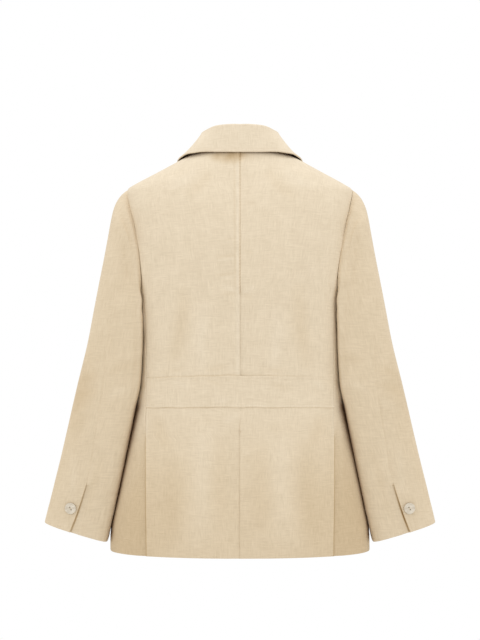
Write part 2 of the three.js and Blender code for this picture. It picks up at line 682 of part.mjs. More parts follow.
// The sleeve's outer face. place runs from -1 at the armhole over 0, the first ring, to the cuff.
function sleeveAt(place, turn) {
  if (place >= 0) return keepClear(ringAt(place, turn), SLEEVE_CLEAR);
  const [s, c] = [Math.sin(rad(turn)), Math.cos(rad(turn))];
  const low = (1 - c) / 2;
  const start = armhole((turn + 360) % 360);
  start.addScaledVector(bodyNormal(start), CAP.lowOff * smooth(low, 0.55, 0.9));
  const end = ringAt(0, turn);
  const reach = start.distanceTo(end);
  const leave = V(1 - 0.55 * low, CAP.backward * s, -mix(CAP.topDrop, CAP.lowDrop, low)).normalize();
  const arrive = ringAt(0.05, turn).sub(end).normalize().multiplyScalar(reach * CAP.ringPull);
  // Without a crown the cap is one sweep; the crown bends its upper half over the shoulder.
  const full = leave.clone().multiplyScalar(mix(CAP.widePull, CAP.lowPull, low));
  const sweep = (t) => hermiteVector(t, start, end, full, arrive);
  const t = place + 1;
  const share = smooth(c, -0.3, 0.75);
  const crown = sweep(CAP.half).lerp(ringPoint(CROWN, turn), share);
  const along = sweep(CAP.half + 0.01).sub(sweep(CAP.half - 0.01)).multiplyScalar(50);
  const rest = 1 - CAP.half;
  along.lerp(end.clone().sub(crown).divideScalar(rest), share);
  const times = (v, k) => v.clone().multiplyScalar(k);
  const bent = t < CAP.half
    ? hermiteVector(t / CAP.half, start, crown, times(leave, CAP.pull), times(along, CAP.half))
    : hermiteVector((t - CAP.half) / rest, crown, end, times(along, rest), times(arrive, rest));
  return keepClear(sweep(t).lerp(bent, smooth(share, 0, 0.25)), Math.min(SLEEVE_CLEAR, reach * t * 0.3));
}

// Moves a point out of the body's form until it is clear of it by the distance given.
function keepClear(p, clear) {
  if (outside(p) > 0.6) return p;
  const foot = settle(p);
  const normal = bodyNormal(foot);
  const distance = p.clone().sub(foot).dot(normal);
  return distance >= clear ? p : foot.addScaledVector(normal, clear);
}

function sleeveNormal(place, turn) {
  const h = 0.01;
  const ahead = sleeveAt(Math.min(place + h, SLEEVE.length - 1), turn);
  const along = ahead.sub(sleeveAt(Math.max(place - h, -1), turn));
  const round = sleeveAt(place, turn + 1).sub(sleeveAt(place, turn - 1));
  return along.cross(round).normalize();
}

// The sleeve's back seam: how far round it has drifted at each place, in degrees.
const BACK_SEAM_TURN = 84;
const SEAM_DRIFT = [
  { place: -1, drift: 0 },
  { place: 0, drift: -6 },
  { place: 0.9, drift: -9 },
  { place: 2, drift: -1.5 },
  { place: 3.2, drift: 6 },
  { place: 4.25, drift: 8.6 },
  { place: 6, drift: -7 },
];
const VENT_PLACE = 4.25; // the sleeve's vent is open below this
const backSeamDrift = (place) => readTable(SEAM_DRIFT, "place", "drift", place);

const backTurns = steps(ARMHOLE_ROWS).map((u) => ARMHOLE.backSeam * u);
const lowTurns = SIDE_COLUMNS.map((u) => mix(ARMHOLE.backSeam, ARMHOLE.frontSeam, u));
const frontTurns = steps(ARMHOLE_ROWS).map((u) => mix(ARMHOLE.frontSeam, 360, u));
const sleevePlaces = [-1, -0.93, -0.82, -0.68, -0.52, -0.35, -0.17, 0, 0.7, 1.4, 2.1, 2.8, 3.5];
const cuffPlaces = [VENT_PLACE, VENT_PLACE + 0.13, VENT_PLACE + 0.16, 5, 5.5, 6];

function buildSleevePiece(name, side, turns, drifts, tuckEdge) {
  const places = [...sleevePlaces, ...cuffPlaces];
  const at = (place) => turns.map((turn, k) => turn + drifts[k] * backSeamDrift(place));
  let points = places.map((place) => at(place).map((turn) => sleeveAt(place, turn)));
  const normals = places.map((place) => at(place).map((turn) => sleeveNormal(place, turn)));
  points = seamGap(points, SLEEVE_SEAM);
  if (tuckEdge !== undefined) {
    points = points.map((row, i) => {
      if (places[i] <= VENT_PLACE) return row;
      const away = row[0].clone().sub(row[1]).normalize();
      const reach = places[i] > VENT_PLACE + 0.14 ? TUCK.under : 0;
      const out = row.map((p) => p.clone());
      const underTurn = at(places[i])[0] - reach / 0.72;
      out[0] = sleeveAt(places[i], underTurn).addScaledVector(normals[i][0], -TUCK.depth);
      if (!reach) out[0].addScaledVector(away, -SEAM / 2);
      out[1].addScaledVector(normals[i][1], -TUCK.depth);
      return out;
    });
  }
  const turned = side.name === "left" ? normals : mirror(normals);
  add(name + "_" + side.name, wall(side.flip(points), turned, CLOTH));
}

function buildSleeve(side) {
  const upper = [
    ...frontTurns.slice(2).map((t) => t - 360),
    ...backTurns.filter((t) => t > 0 && t < BACK_SEAM_TURN + 1),
  ];
  const span = BACK_SEAM_TURN - upper[0];
  buildSleevePiece("upper_sleeve", side, upper, upper.map((t) => (t - upper[0]) / span));
  const under = [
    ...backTurns.filter((t) => t > BACK_SEAM_TURN - 1),
    ...lowTurns.slice(1),
    ...frontTurns.slice(1, 3),
  ];
  const last = under.at(-1);
  const narrow = [under[0], under[0] + 9, under[0] + 21, ...under.slice(2)];
  buildSleevePiece("under_sleeve", side, narrow, narrow.map((t) => (last - t) / (last - under[0])), 0);
}

// ---- Buttons ----
const HOLES = [60, 240];

// A dished two-hole button whose underside is at 0 and whose face looks along +Y.
function buttonGeometry() {
  const { radius, rim, well, holeRadius, holeOffset, sides } = BUTTON;
  const profile = [
    [0, 0], [radius * 0.86, 0], [radius, rim * 0.45], [radius * 0.93, rim],
    [radius * 0.7, rim], [radius * 0.58, well], [0, well],
  ];
  const disc = new THREE.LatheGeometry(profile.map(([x, y]) => new THREE.Vector2(x, y)), sides);
  let solid = solidOf(disc);
  for (const turn of HOLES) {
    const hole = new THREE.CylinderGeometry(holeRadius, holeRadius, rim * 4, 8);
    hole.translate(holeOffset * Math.cos(rad(turn)), 0, holeOffset * Math.sin(rad(turn)));
    solid = solid.subtract(solidOf(hole));
  }
  const mesh = solid.getMesh();
  const geometry = new THREE.BufferGeometry();
  geometry.setAttribute("position", new THREE.BufferAttribute(new Float32Array(mesh.vertProperties), 3));
  geometry.setIndex([...mesh.triVerts]);
  return geometry;
}

function solidOf(geometry) {
  const bare = geometry.clone();
  bare.deleteAttribute("normal");
  bare.deleteAttribute("uv");
  const merged = mergeVertices(bare, 1e-4);
  const mesh = new wasm.Mesh({
    numProp: 3,
    vertProperties: new Float32Array(merged.getAttribute("position").array),
    triVerts: new Uint32Array(merged.index.array),
  });
  const solid = new wasm.Manifold(mesh);
  return solid;
}

function addButton(name, place, normal, geometry, clear = SEAM) {
  add(name, geometry, SHELL_BUTTON);
  const mesh = pieces.children.at(-1);
  mesh.position.copy(place).addScaledVector(normal, clear);
  mesh.quaternion.setFromUnitVectors(V(0, 1, 0), normal);
}

const CUFF_BUTTON = { place: 5.01, turnFromVent: 20, clear: 0.4 };

function buildButtons() {
  const geometry = buttonGeometry();
  FRONT_BUTTONS.forEach(({ z, clear }, i) => {
    const place = bodyAcross(0, z, true);
    addButton("front_button_" + (i + 1), place, bodyNormal(place), geometry, clear);
  });
  for (const side of SIDES) {
    const turn = BACK_SEAM_TURN + backSeamDrift(CUFF_BUTTON.place) - CUFF_BUTTON.turnFromVent;
    const place = sleeveAt(CUFF_BUTTON.place, turn);
    const normal = sleeveNormal(CUFF_BUTTON.place, turn);
    const [[p], [n]] = [side.flip([[place]])[0], side.flip([[normal]])[0]];
    addButton("cuff_button_" + side.name, p, n, geometry, CUFF_BUTTON.clear);
  }
}

// ---- Assembly ----
for (const side of SIDES) {
  buildBack(side);
  buildSkirt(side);
  buildSidePanel(side);
  buildFront(side);
  buildLapel(side);
  buildSleeve(side);
  for (const pocket of POCKETS) buildPocket(side, pocket);
}
buildBand();
buildCollar();
buildButtons();

export default pieces;
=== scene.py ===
# The looks of a woman's unlined linen safari jacket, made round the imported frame.
# Sizes are in millimetres; only meshes, materials, lights and the camera are in metres.
# +Z is up, the wearer faces -Y, and +X is the wearer's left. The camera looks at the back.
import math

import bpy
import numpy as np
from mathutils import Matrix


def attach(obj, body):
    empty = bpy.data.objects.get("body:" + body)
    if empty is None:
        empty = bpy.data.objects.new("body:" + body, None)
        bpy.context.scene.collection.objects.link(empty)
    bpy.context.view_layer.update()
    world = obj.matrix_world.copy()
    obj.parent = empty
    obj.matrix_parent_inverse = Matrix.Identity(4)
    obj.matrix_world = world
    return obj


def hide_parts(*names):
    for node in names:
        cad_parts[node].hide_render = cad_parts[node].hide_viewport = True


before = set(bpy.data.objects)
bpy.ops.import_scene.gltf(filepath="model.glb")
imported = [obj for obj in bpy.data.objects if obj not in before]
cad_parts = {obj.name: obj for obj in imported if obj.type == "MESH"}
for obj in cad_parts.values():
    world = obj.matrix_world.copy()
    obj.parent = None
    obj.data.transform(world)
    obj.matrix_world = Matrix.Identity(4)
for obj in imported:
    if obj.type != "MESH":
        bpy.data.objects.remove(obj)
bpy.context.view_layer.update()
MM = 0.001


# ---- Tables, read smoothly ----
def table(columns, *rows):
    """A dictionary with a list of numbers for each named column."""
    return dict(zip(columns.split(), np.array(rows, float).T))


def hermite(t, a, b, slope_a, slope_b):
    """A smooth curve from a to b as t goes from 0 to 1, with the slopes given at its ends."""
    t2, t3 = t**2, t**3
    share_a, share_b = 2 * t3 - 3 * t2 + 1, 3 * t2 - 2 * t3
    return share_a * a + (t3 - 2 * t2 + t) * slope_a + share_b * b + (t3 - t2) * slope_b


def read(rows, key, column, at):
    """One column of a table at any places along its key column."""
    keys, values, at = rows[key], rows[column], np.asarray(at, float)
    if keys[0] > keys[-1]:
        keys, at = -keys, -at
    at = np.clip(at, keys[0], keys[-1])
    last = len(keys) - 1
    low = np.maximum(np.arange(last + 1) - 1, 0)
    high = np.minimum(np.arange(last + 1) + 1, last)
    slope = (values[high] - values[low]) / (keys[high] - keys[low])
    i = np.clip(np.searchsorted(keys, at) - 1, 0, last - 1)
    gap = keys[i + 1] - keys[i]
    return hermite((at - keys[i]) / gap, values[i], values[i + 1], slope[i] * gap, slope[i + 1] * gap)


def smooth(v, start, end):
    """Rises from 0 to 1 as v goes from start to end, in either order."""
    t = np.clip((v - start) / (end - start), 0, 1)
    return t * t * (3 - 2 * t)


def between(v, start, full, less, end):
    """Rises from 0 to 1 between start and full, and falls back to 0 between less and end."""
    return smooth(v, start, full) * smooth(v, end, less)


def hump(distance, width):
    """1 where the distance is 0, falling softly to either side."""
    return np.exp(-((distance / width) ** 2))


def mix(a, b, share):
    return a + (b - a) * share


def xyz(x, y, z):
    return np.stack(np.broadcast_arrays(x, y, z), axis=-1).astype(float)


def unit(v):
    return v / np.maximum(np.linalg.norm(v, axis=-1, keepdims=True), 1e-9)


def sin_cos(degrees):
    turn = np.radians(degrees)
    return np.sin(turn), np.cos(turn)


# ---- The jacket's form: the same sizes and tables as its solids ----
CLOTH = 1.0  # one shell: the cloth and what is pressed behind it
HEM_Z = -699
NECK_RISE = 12  # of the neck seam at the back's middle, over the shoulder seams
SHOULDER_Z = -67  # the shoulder seam's outer end
BAND = {"top": -390, "bottom": -444, "top_drop": 5, "bottom_drop": 3, "half": 162, "proud": 0.6}
# How a piece passes under its neighbour at a pleat or vent: how far, how deep, and over what slope.
TUCK = {"under": 12, "depth": 2.0, "shallow": 1.2, "flat": 8, "slope": 18, "ramp": 30}
BACK_PLEAT_Z = -250  # the back's pleat, the skirt's and the side vents are open below these
SKIRT_PLEAT_Z = -484
SIDE_VENT_Z = -495
BREAK_Z = -290  # where the lapels begin to turn back
FRONT_OVERLAP = 18
UNDER_FRONT = {"depth": 4.2, "start": 52, "end": 22}  # the left front sinks under the right one
GORGE_AROUND = 127  # where the neck seam ends, in degrees round the body from the back's middle
GORGE_DROP = 15

BODY = table(
    "z wide back front square",
    (20, 62, 55, 34, 2.15),
    (8, 72, 60.5, 40, 2.15),
    (0, 79, 64, 44, 2.15),
    (-18, 110, 73, 54, 2.15),
    (-40, 150, 84, 66, 2.2),
    (-58, 184, 91, 75, 2.2),
    (-67, 197, 95, 80, 2.2),
    (-93, 196, 104, 93, 2.2),
    (-130, 190, 113, 109, 2.2),
    (-166, 187, 118, 121, 2.2),
    (-235, 181, 119, 130, 2.2),
    (-300, 177, 114, 125, 2.25),
    (-350, 176, 109, 117, 2.25),
    (-400, 178, 106, 112, 2.25),
    (-445, 184, 107, 112, 2.25),
    (-500, 197, 112, 116, 2.2),
    (-560, 209.5, 117, 121, 2.2),
    (-620, 221, 120, 124, 2.2),
    (-655, 226.5, 121, 125, 2.2),
    (-700, 227.5, 121, 125, 2.2),
)
SIDE_SEAMS = table(
    "z back front",
    (-235, 168.3, 166),
    (-300, 164, 161),
    (-390, 162, 157),
    (-495, 163, 164),
    (-700, 160, 170),
)
SLEEVE = table(
    "i x y z wide inner deep lean square",
    (0, 209.5, 24, -285, 45, 47, 51, 10, 2.7),
    (1, 217.5, 25, -348, 49.5, 51, 49, 10.5, 2.6),
    (2, 230, 24, -419, 54, 55.5, 46, 11.5, 2.45),
    (3, 247, 21, -489, 54, 57.5, 43, 12.5, 2.35),
    (4, 262.5, 17, -560, 55.3, 58.5, 40, 13, 2.3),
    (5, 277.5, 13, -625, 57, 59, 38, 14.5, 2.25),
    (6, 286.5, 11, -666, 58, 57, 37, 16.5, 2.2),
)
CROWN = {"x": 183, "y": 14, "z": -140, "wide": 45, "inner": 45, "deep": 51, "lean": 10, "square": 2.5}
COLLAR = table(
    "around rise out edge_x edge_y edge_z bow",
    (0, 29.5, 1, 0, 75, -9.4, 0),
    (20, 31.2, 0, 28, 73.5, -9.4, 0),
    (40, 32.8, -1, 55, 67.5, -9.4, -0.5),
    (58, 31.8, -6, 78, 56, -9, -0.5),
    (74, 31, -10, 94, 38, -7.5, 0.5),
    (86, 29, -13, 103.5, 19, -10.5, 1.5),
    (96, 25.5, -14, 109, 0, -13.5, 1.5),
    (106, 20, -12, 112, -20, -19.5, 1.5),
    (116, 12.5, -8, 111, -42, -30.5, 0.8),
    (126, 6, -3, 106, -63, -46, 0),
)
ARMHOLE = {
    "middle": (SHOULDER_Z - 264) / 2,
    "half": (SHOULDER_Z + 264) / 2,
    "wide": 46,
    "egg": 28,
    "scoop": 16,
    "front": 1.08,
    "back_seam": 140,
    "front_seam": 222,
}


def body_size(z, y):
    deep = np.where(np.asarray(y) < 0, read(BODY, "z", "front", z), read(BODY, "z", "back", z))
    return read(BODY, "z", "wide", z), deep, read(BODY, "z", "square", z)


def body_at(around, z):
    """Points of the body's form in a direction round it: 0 is the back's middle and 90 the side."""
    s, c = sin_cos(around)
    wide, deep, square = body_size(z, c)
    r = (np.abs(s / wide) ** square + np.abs(c / deep) ** square) ** (-1 / square)
    return xyz(r * s, r * c, z)


def body_across(x, z, before):
    """Points of the body's form as far from the middle plane as x says, before or behind."""
    way = -1 if before else 1
    wide, deep, square = body_size(z, way)
    share = np.maximum(0, 1 - np.abs(x / wide) ** square)
    return xyz(x, way * deep * share ** (1 / square), z)


def outside(p):
    """Over 0 for points outside the body's form, and under 0 for points inside it."""
    wide, deep, square = body_size(p[..., 2], p[..., 1])
    return np.abs(p[..., 0] / wide) ** square + np.abs(p[..., 1] / deep) ** square - 1


def body_slope(p, h=0.02):
    """How fast outside() grows at points along each axis."""
    x, y, z = p[..., 0], p[..., 1], p[..., 2]
    wide, deep, square = body_size(z, y)
    slope_x = square * np.abs(x / wide) ** (square - 1) * np.sign(x) / wide
    slope_y = square * np.abs(y / deep) ** (square - 1) * np.sign(y) / deep
    slope_z = (outside(p + [0, 0, h]) - outside(p - [0, 0, h])) / (2 * h)
    return xyz(slope_x, slope_y, slope_z)


def body_normal(p):
    return unit(body_slope(p))


def settle(p, rounds=5):
    """Moves points that are near the body's form onto it."""
    for _ in range(rounds):
        g = body_slope(p)
        p = p - g * (outside(p) / np.maximum((g**2).sum(-1), 1e-9))[..., None]
    return p


# How much fuller the worn back is at the shoulder blades and the armholes than its plain form.
BLADES = table("z fuller", (0, 0), (-60, 1), (-110, 12), (-264, 12), (-400, 9), (-450, 4), (-500, 0))
BLADE_START, BLADE_END = 95, 172  # from the middle plane
BEHIND = (2, 30)  # the y where the fullness begins, and where it is whole
NEAR_FORM = (0.4, 0.06)  # the values of outside() for the same
# How much wider it is beside the armholes, not the same on the wearer's left (1) and right (-1).
ARMHOLE_WIDER = table("side by z reach", (1, 3.8, -214, 34), (-1, 1.8, -214, 34), (-1, -2.6, -264, 32))


def fuller(p, sign):
    """Points on or near the body's form, moved back where the worn back stands fuller."""
    share = smooth(np.abs(p[..., 0]), BLADE_START, BLADE_END) * smooth(p[..., 1], *BEHIND)
    share = share * smooth(outside(p), *NEAR_FORM)
    wider = 0
    for side, by, z, reach in zip(*ARMHOLE_WIDER.values()):
        wider = wider + by * hump(p[..., 2] - z, reach) * (np.asarray(sign) == side)
    return p + xyz(wider * share * np.sign(p[..., 0]), read(BLADES, "z", "fuller", p[..., 2]) * share, 0)


# ---- Seam lines, drawn for the wearer's left half ----
def armhole(turn):
    """The armhole's line on the body's form, turning from its top over the back."""
    s, c = sin_cos(turn)
    y = s * (ARMHOLE["wide"] - ARMHOLE["egg"] * c + ARMHOLE["scoop"] * c * c)
    y = np.where(s < 0, y * ARMHOLE["front"], y)
    z = ARMHOLE["middle"] + ARMHOLE["half"] * c
    wide, deep, square = body_size(z, y)
    return xyz(wide * (1 - np.abs(y / deep) ** square) ** (1 / square), y, z)


def neckline(around):
    """The neck seam, from the back's middle round to the gorge."""
    back = NECK_RISE * np.cos(np.radians(around)) ** 2
    return body_at(around, np.where(around <= 90, back, -GORGE_DROP * smooth(around, 90, GORGE_AROUND)))


def shoulder_seam(share):
    """The shoulder seam, from the neck seam to the armhole's top."""
    return body_at(90 + 0 * share, mix(0, SHOULDER_Z, share))


def side_seam(side, z):
    return body_across(read(SIDE_SEAMS, "z", side, z), z, side == "front")


def band_edge(x, edge, sign=1):
    """An edge of the waist band: sign is 1 where x is the wearer's left, and -1 where it is the right."""
    height = BAND[edge] - BAND[edge + "_drop"] * (x / BAND["half"]) ** 2 + band_wave(x * sign, edge)
    return body_across(x, height, False)


def band_wave(x, edge):
    """The edge's soft unevenness, which ends before the side seams."""
    shift = {"top": 0.0, "bottom": 2.4}[edge]
    wave = 0.5 * np.sin(x / 17 + shift) * np.sin(x / 41 + 1.1 + shift) + 0.3 * np.sin(x / 8.3 + 2 * shift)
    return wave * smooth(np.abs(x), 158, 140)


GORGE = neckline(np.array(GORGE_AROUND))


def roll_line(share):
    return body_across(mix(-FRONT_OVERLAP, GORGE[0], share), mix(BREAK_Z, GORGE[2], share), True)


# The heights at which the seams' rows stand, from the hem up.
LEVELS = table(
    "back front",
    (HEM_Z, HEM_Z),
    (-655, -655),
    (-612, -612),
    (-573, -573),
    (-535, -535),
    (-504, -504),
    (-502, -500),
    (-495, -492),
    (-466, -458),
    (-447, -444),
    (-421, -421),
    (-395, -395),
    (-350, -350),
    (-300, -305),
    (-266, -270),
    (armhole(140.0)[2], armhole(222.0)[2]),
)
SEAM_TOP = len(LEVELS["back"]) - 1
BAND_LEVEL = 9
BREAK_LEVEL = 13
ARMHOLE_ROWS = 10
BACK_CENTRE_Z = (-390, -358, -325, -292, -259, -257, -250, -212, -176, -142, -110, -78, -48, -18, NECK_RISE)
SKIRT_CENTRE_Z = (HEM_Z, -655, -612, -573, -535, -493, -491, -484, -464, -444)
FRONT_EDGE_Z = (HEM_Z, -655, -612, -573, -535, -504, -500, -492, -458, -444, -421, -395, -345, BREAK_Z)


def at_row(heights, row):
    return np.interp(row, np.arange(len(heights)), heights)


def body_seam(side, row):
    """A side seam from the hem, and above the underarm the armhole, at places counted in rows."""
    z = at_row(LEVELS[side], np.minimum(row, SEAM_TOP))
    first, last = ARMHOLE[side + "_seam"], 0 if side == "back" else 360
    slip = armhole(np.array(first, float)) - side_seam(side, LEVELS[side][-1])
    seam = settle(side_seam(side, z) + slip * near_underarm(row)[..., None])
    above = armhole(mix(first, last, np.clip((row - SEAM_TOP) / ARMHOLE_ROWS, 0, 1)))
    return np.where((row < SEAM_TOP)[..., None], seam, above)


def near_underarm(row):
    """0 along a side seam, rising to 1 in its last rows below the armhole."""
    return np.clip((row - SEAM_TOP + 1.5) / 1.5, 0, 1) ** 2


# ---- Grids of points ----
# Each piece's grid across, or up where the name says so: its size, the largest step between its
# lines, and how fast the steps grow from its edges.
GRID = {
    "back": (170, 2.6, 1.12),
    "skirt": (168, 3.0, 1.2),
    "band": (170, 2.6, 1.3),
    "band_up": (52, 2.0, 1.25),
    "side_panel": (180, 3.2, 1.3),
    "front": (190, 3.6),
    "lapel": (75, 2.4),
    "lapel_up": (232, 3.2),
    "collar_fall": (48, 2.0),
    "upper_sleeve": (165, 3.2),
    "under_sleeve": (150, 3.2),
}
# The largest step between its rows, and both ways on a pocket.
STEP = {
    "back": 2.2, "skirt": 2.6, "side_panel": 3.0, "front": 3.2, "sleeve": 3.2, "pocket": 3.2, "flap": 2.8,
}


FINE_ROWS = 40  # how many places are measured for each row of the seams' tables


def graded(length, step, edge=0.8, grow=1.35):
    """Distances from 0 to length, close together at both ends."""
    steps, width = [], edge
    while sum(steps) < length / 2:
        steps.append(width)
        width = min(width * grow, step)
    both = np.array(steps + steps[::-1])
    return np.concatenate([[0], np.cumsum(both)]) * (length / both.sum())


def shares(length, step, grow=1.35, edge=0.8):
    """The same as shares of the length, from 0 to 1."""
    return graded(length, step, edge, grow) / length


def travelled(points):
    """How far along a line of points each one lies."""
    return np.concatenate([[0], np.cumsum(np.linalg.norm(np.diff(points, axis=0), axis=1))])


def spread_rows(inner, outer, last, step, first=0):
    """Places from first to last at which the rows between two edges lie a step apart."""
    fine = np.linspace(first, last, FINE_ROWS * int(last - first) + 1)
    length = (travelled(inner(fine)) + travelled(outer(fine))) / 2
    return np.interp(graded(length[-1], step), length, fine)


def fill(columns, a, b, bottom, top):
    """A grid between two edges, a and b, whose lowest and highest rows are given."""
    s = columns[:, None]
    climbed = a[:, 2] - a[0, 2] + b[:, 2] - b[0, 2]
    share = (climbed / climbed[-1])[:, None, None]
    low = bottom - mix(a[0], b[0], s)
    high = top - mix(a[-1], b[-1], s)
    points = settle(mix(a[:, None], b[:, None], s) + low * (1 - share) + high * share)
    points[:, 0], points[:, -1], points[0], points[-1] = a, b, bottom, top
    return points


def panel(name, inner, outer, last, bottom, top):
    """A grid between two edges, last rows high, with its lowest and highest rows worked out from x."""
    rows = spread_rows(inner, outer, last, STEP[name])
    a, b = inner(rows), outer(rows)
    columns = shares(*GRID[name])
    low, high = (mix(a[end, 0], b[end, 0], columns) for end in (0, -1))
    return fill(columns, a, b, bottom(low), top(high, columns))


def grid_normals(points):
    """The way out of a grid, across its rows and columns."""
    across, up = np.gradient(points, axis=1), np.gradient(points, axis=0)
    return unit(np.cross(across, up))


# ---- Cloth ----
CREASE_COLUMNS = "x0 z0 x1 z1 bow wide high"
CREASE_PAINTED_LIGHT = 0.06  # painted light and shade on folds: how much lighter the colour is painted for each millimetre that a fold stands up, and darker where it sinks


class Cloth:
    """One piece: a grid of points on its outer face, with rows going up and columns going across."""

    def __init__(self, name, points, normals, thick=CLOTH, lift=0.0):
        self.name, self.thick = name, thick
        self.normals = normals
        self.points = points + normals * np.asarray(lift)[..., None]
        self.start, self.end = self.distances(1)
        self.bottom, self.top = self.distances(0)
        self.relief = np.zeros(points.shape[:2])
        # painted light and shade, which the material multiplies into the colour, and how much of the
        # painted brown of hollows shows
        self.tone = np.ones(points.shape[:2])
        self.hollow = np.ones(points.shape[:2])
        self.rows = []
        self.grain = self.start - self.start[:, -1:] / 2, self.bottom

    def distances(self, axis):
        steps = np.linalg.norm(np.diff(self.points, axis=axis), axis=-1)
        gone = np.insert(np.cumsum(steps, axis=axis), 0, 0, axis=axis)
        return gone, gone.take([-1], axis=axis) - gone

    @property
    def x(self):
        return self.points[..., 0]

    @property
    def z(self):
        return self.points[..., 2]

    def outer(self):
        return self.points + self.normals * self.relief[..., None]

    def flat(self):
        """The width, length and area of the flat cut, in metres, from the form without its creases."""
        across, up = np.diff(self.points, axis=1)[:-1], np.diff(self.points, axis=0)[:, :-1]
        area = np.linalg.norm(np.cross(across, up), axis=-1).sum() * MM**2
        width, length = self.start[:, -1].max() * MM, self.bottom[-1].max() * MM
        return width, length, min(area, width * length)

    def seam(self, distance, depth=0.7, width=1.3, where=1.0):
        self.relief = self.relief - depth * hump(distance, width) * where

    def ridge(self, distance, at, height, width, where=1.0):
        self.relief = self.relief + height * hump(distance - at, width) * where

    def mark(self, distance, at, width, share, where=1.0):
        """Paints the cloth's colour lighter or darker along a line beside an edge: painted highlights on
        roundings, painted shade in grooves and gaps.
        """
        self.tone = self.tone * (1 + share * hump(distance - at, width) * where)

    def pucker(self, distance, along, height, reach, phase, where=1.0):
        """Short uneven ripples across a seam."""
        wave = np.sin(along / 1.35 + phase + 1.7 * np.sin(along / 9.1 + 2 * phase))
        wave = wave * (0.6 + 0.4 * np.sin(along / 4.3 + 3.1 * phase))
        self.relief = self.relief + height * wave * hump(distance, reach) * where

    def crease(self, rows, across, up):
        """Soft troughs and ridges along short bowed lines, from (x0, z0) to (x1, z1), with painted light on
        the ridges and painted shade in the troughs.
        """
        for x0, z0, x1, z1, bow, wide, high in zip(*(rows[k] for k in CREASE_COLUMNS.split())):
            dx, dz = x1 - x0, z1 - z0
            length = math.hypot(dx, dz)
            t = ((across - x0) * dx + (up - z0) * dz) / length**2
            off = ((across - x0) * dz - (up - z0) * dx) / length - bow * 4 * t * (1 - t)
            taper = np.clip(1 - (2 * t - 1) ** 2, 0, 1) ** 0.8
            fold = high * taper * hump(off, wide)
            self.relief = self.relief + fold
            self.tone = self.tone * (1 + CREASE_PAINTED_LIGHT * fold)

    def line(self, distance, at):
        """The places on the outer face at a distance from one of its edges, with the way out there."""
        points, normals = self.outer(), self.normals
        if distance is self.bottom or distance is self.top:
            distance, points, normals = distance.T, points.swapaxes(0, 1), normals.swapaxes(0, 1)
        found = []
        for gone, p, n in zip(distance, points, normals):
            order = np.argsort(gone)
            pick = lambda v: np.stack([np.interp(at, gone[order], v[order, k]) for k in range(3)])
            found.append((pick(p), pick(n)))
        return np.array([p for p, _ in found]), np.array([n for _, n in found])


def mirrored(points, sign):
    return points * [sign, 1, 1]


def on_body(name, points, sign, full=False, lift=0.0):
    """A piece on the body's form, on the wearer's left (1) or right (-1), full or not at the blades."""
    placed = fuller(points, sign) if full else points
    return Cloth(name, mirrored(placed, sign), mirrored(body_normal(points), sign), lift=lift)


# ---- Meshes ----
def linked(name, data):
    obj = bpy.data.objects.new(name, data)
    bpy.context.scene.collection.objects.link(obj)
    return obj


def mesh_object(name, points, faces, material, sharp=50):
    """A smooth mesh from points in millimetres, creased where it turns more than sharp degrees."""
    mesh = bpy.data.meshes.new(name)
    mesh.vertices.add(len(points))
    mesh.vertices.foreach_set("co", (np.asarray(points) * MM).ravel())
    sizes = np.array([len(f) for f in faces])
    loops = np.concatenate([np.asarray(f) for f in faces])
    mesh.loops.add(len(loops))
    mesh.loops.foreach_set("vertex_index", loops)
    mesh.polygons.add(len(sizes))
    mesh.polygons.foreach_set("loop_start", np.concatenate([[0], np.cumsum(sizes)[:-1]]))
    mesh.update(calc_edges=True)
    mesh.validate()
    mesh.polygons.foreach_set("use_smooth", np.ones(len(sizes), bool))
    mesh.set_sharp_from_angle(angle=math.radians(sharp))
    mesh.materials.append(material)
    return linked(name, mesh)


def vector_attribute(obj, name, *parts):
    """Three numbers kept for each point of a mesh, for its material."""
    values = np.stack(np.broadcast_arrays(*parts), axis=-1)
    obj.data.attributes.new(name, "FLOAT_VECTOR", "POINT").data.foreach_set("vector", values.ravel())


def shell(cloth, material, salt):
    """A closed shell whose outer face is the cloth's, with its edges turned in."""
    outer = cloth.outer()
    inner = outer - cloth.normals * cloth.thick
    rows, cols = outer.shape[:2]
    at = np.arange(rows * cols).reshape(rows, cols)
    face = np.stack([at[:-1, :-1], at[:-1, 1:], at[1:, 1:], at[1:, :-1]], axis=-1).reshape(-1, 4)
    back = face[:, ::-1] + rows * cols
    edge = np.concatenate([at[0, :-1], at[:-1, -1], at[-1, :0:-1], at[:0:-1, 0]])
    ahead = np.roll(edge, -1)
    rim = np.stack([ahead, edge, edge + rows * cols, ahead + rows * cols], axis=-1)
    points = np.concatenate([outer.reshape(-1, 3), inner.reshape(-1, 3)])
    faces = np.concatenate([face, back, rim])
    middle = outer[rows // 2, cols // 2], outer[rows // 2, cols // 2 + 1], outer[rows // 2 + 1, cols // 2]
    if np.cross(middle[1] - middle[0], middle[2] - middle[0]) @ cloth.normals[rows // 2, cols // 2] < 0:
        faces = faces[:, ::-1]
    obj = mesh_object(cloth.name + "_cloth", points, faces, material)
    across, up, hollow = (np.tile(values.ravel(), 2) for values in (*cloth.grain, cloth.hollow))
    tone = np.concatenate([cloth.tone.ravel(), np.ones(cloth.tone.size)])  # the inside stays plain
    vector_attribute(obj, "cloth", across * MM, up * MM, salt)
    vector_attribute(obj, "shade", tone, hollow, 0.0)
    return obj


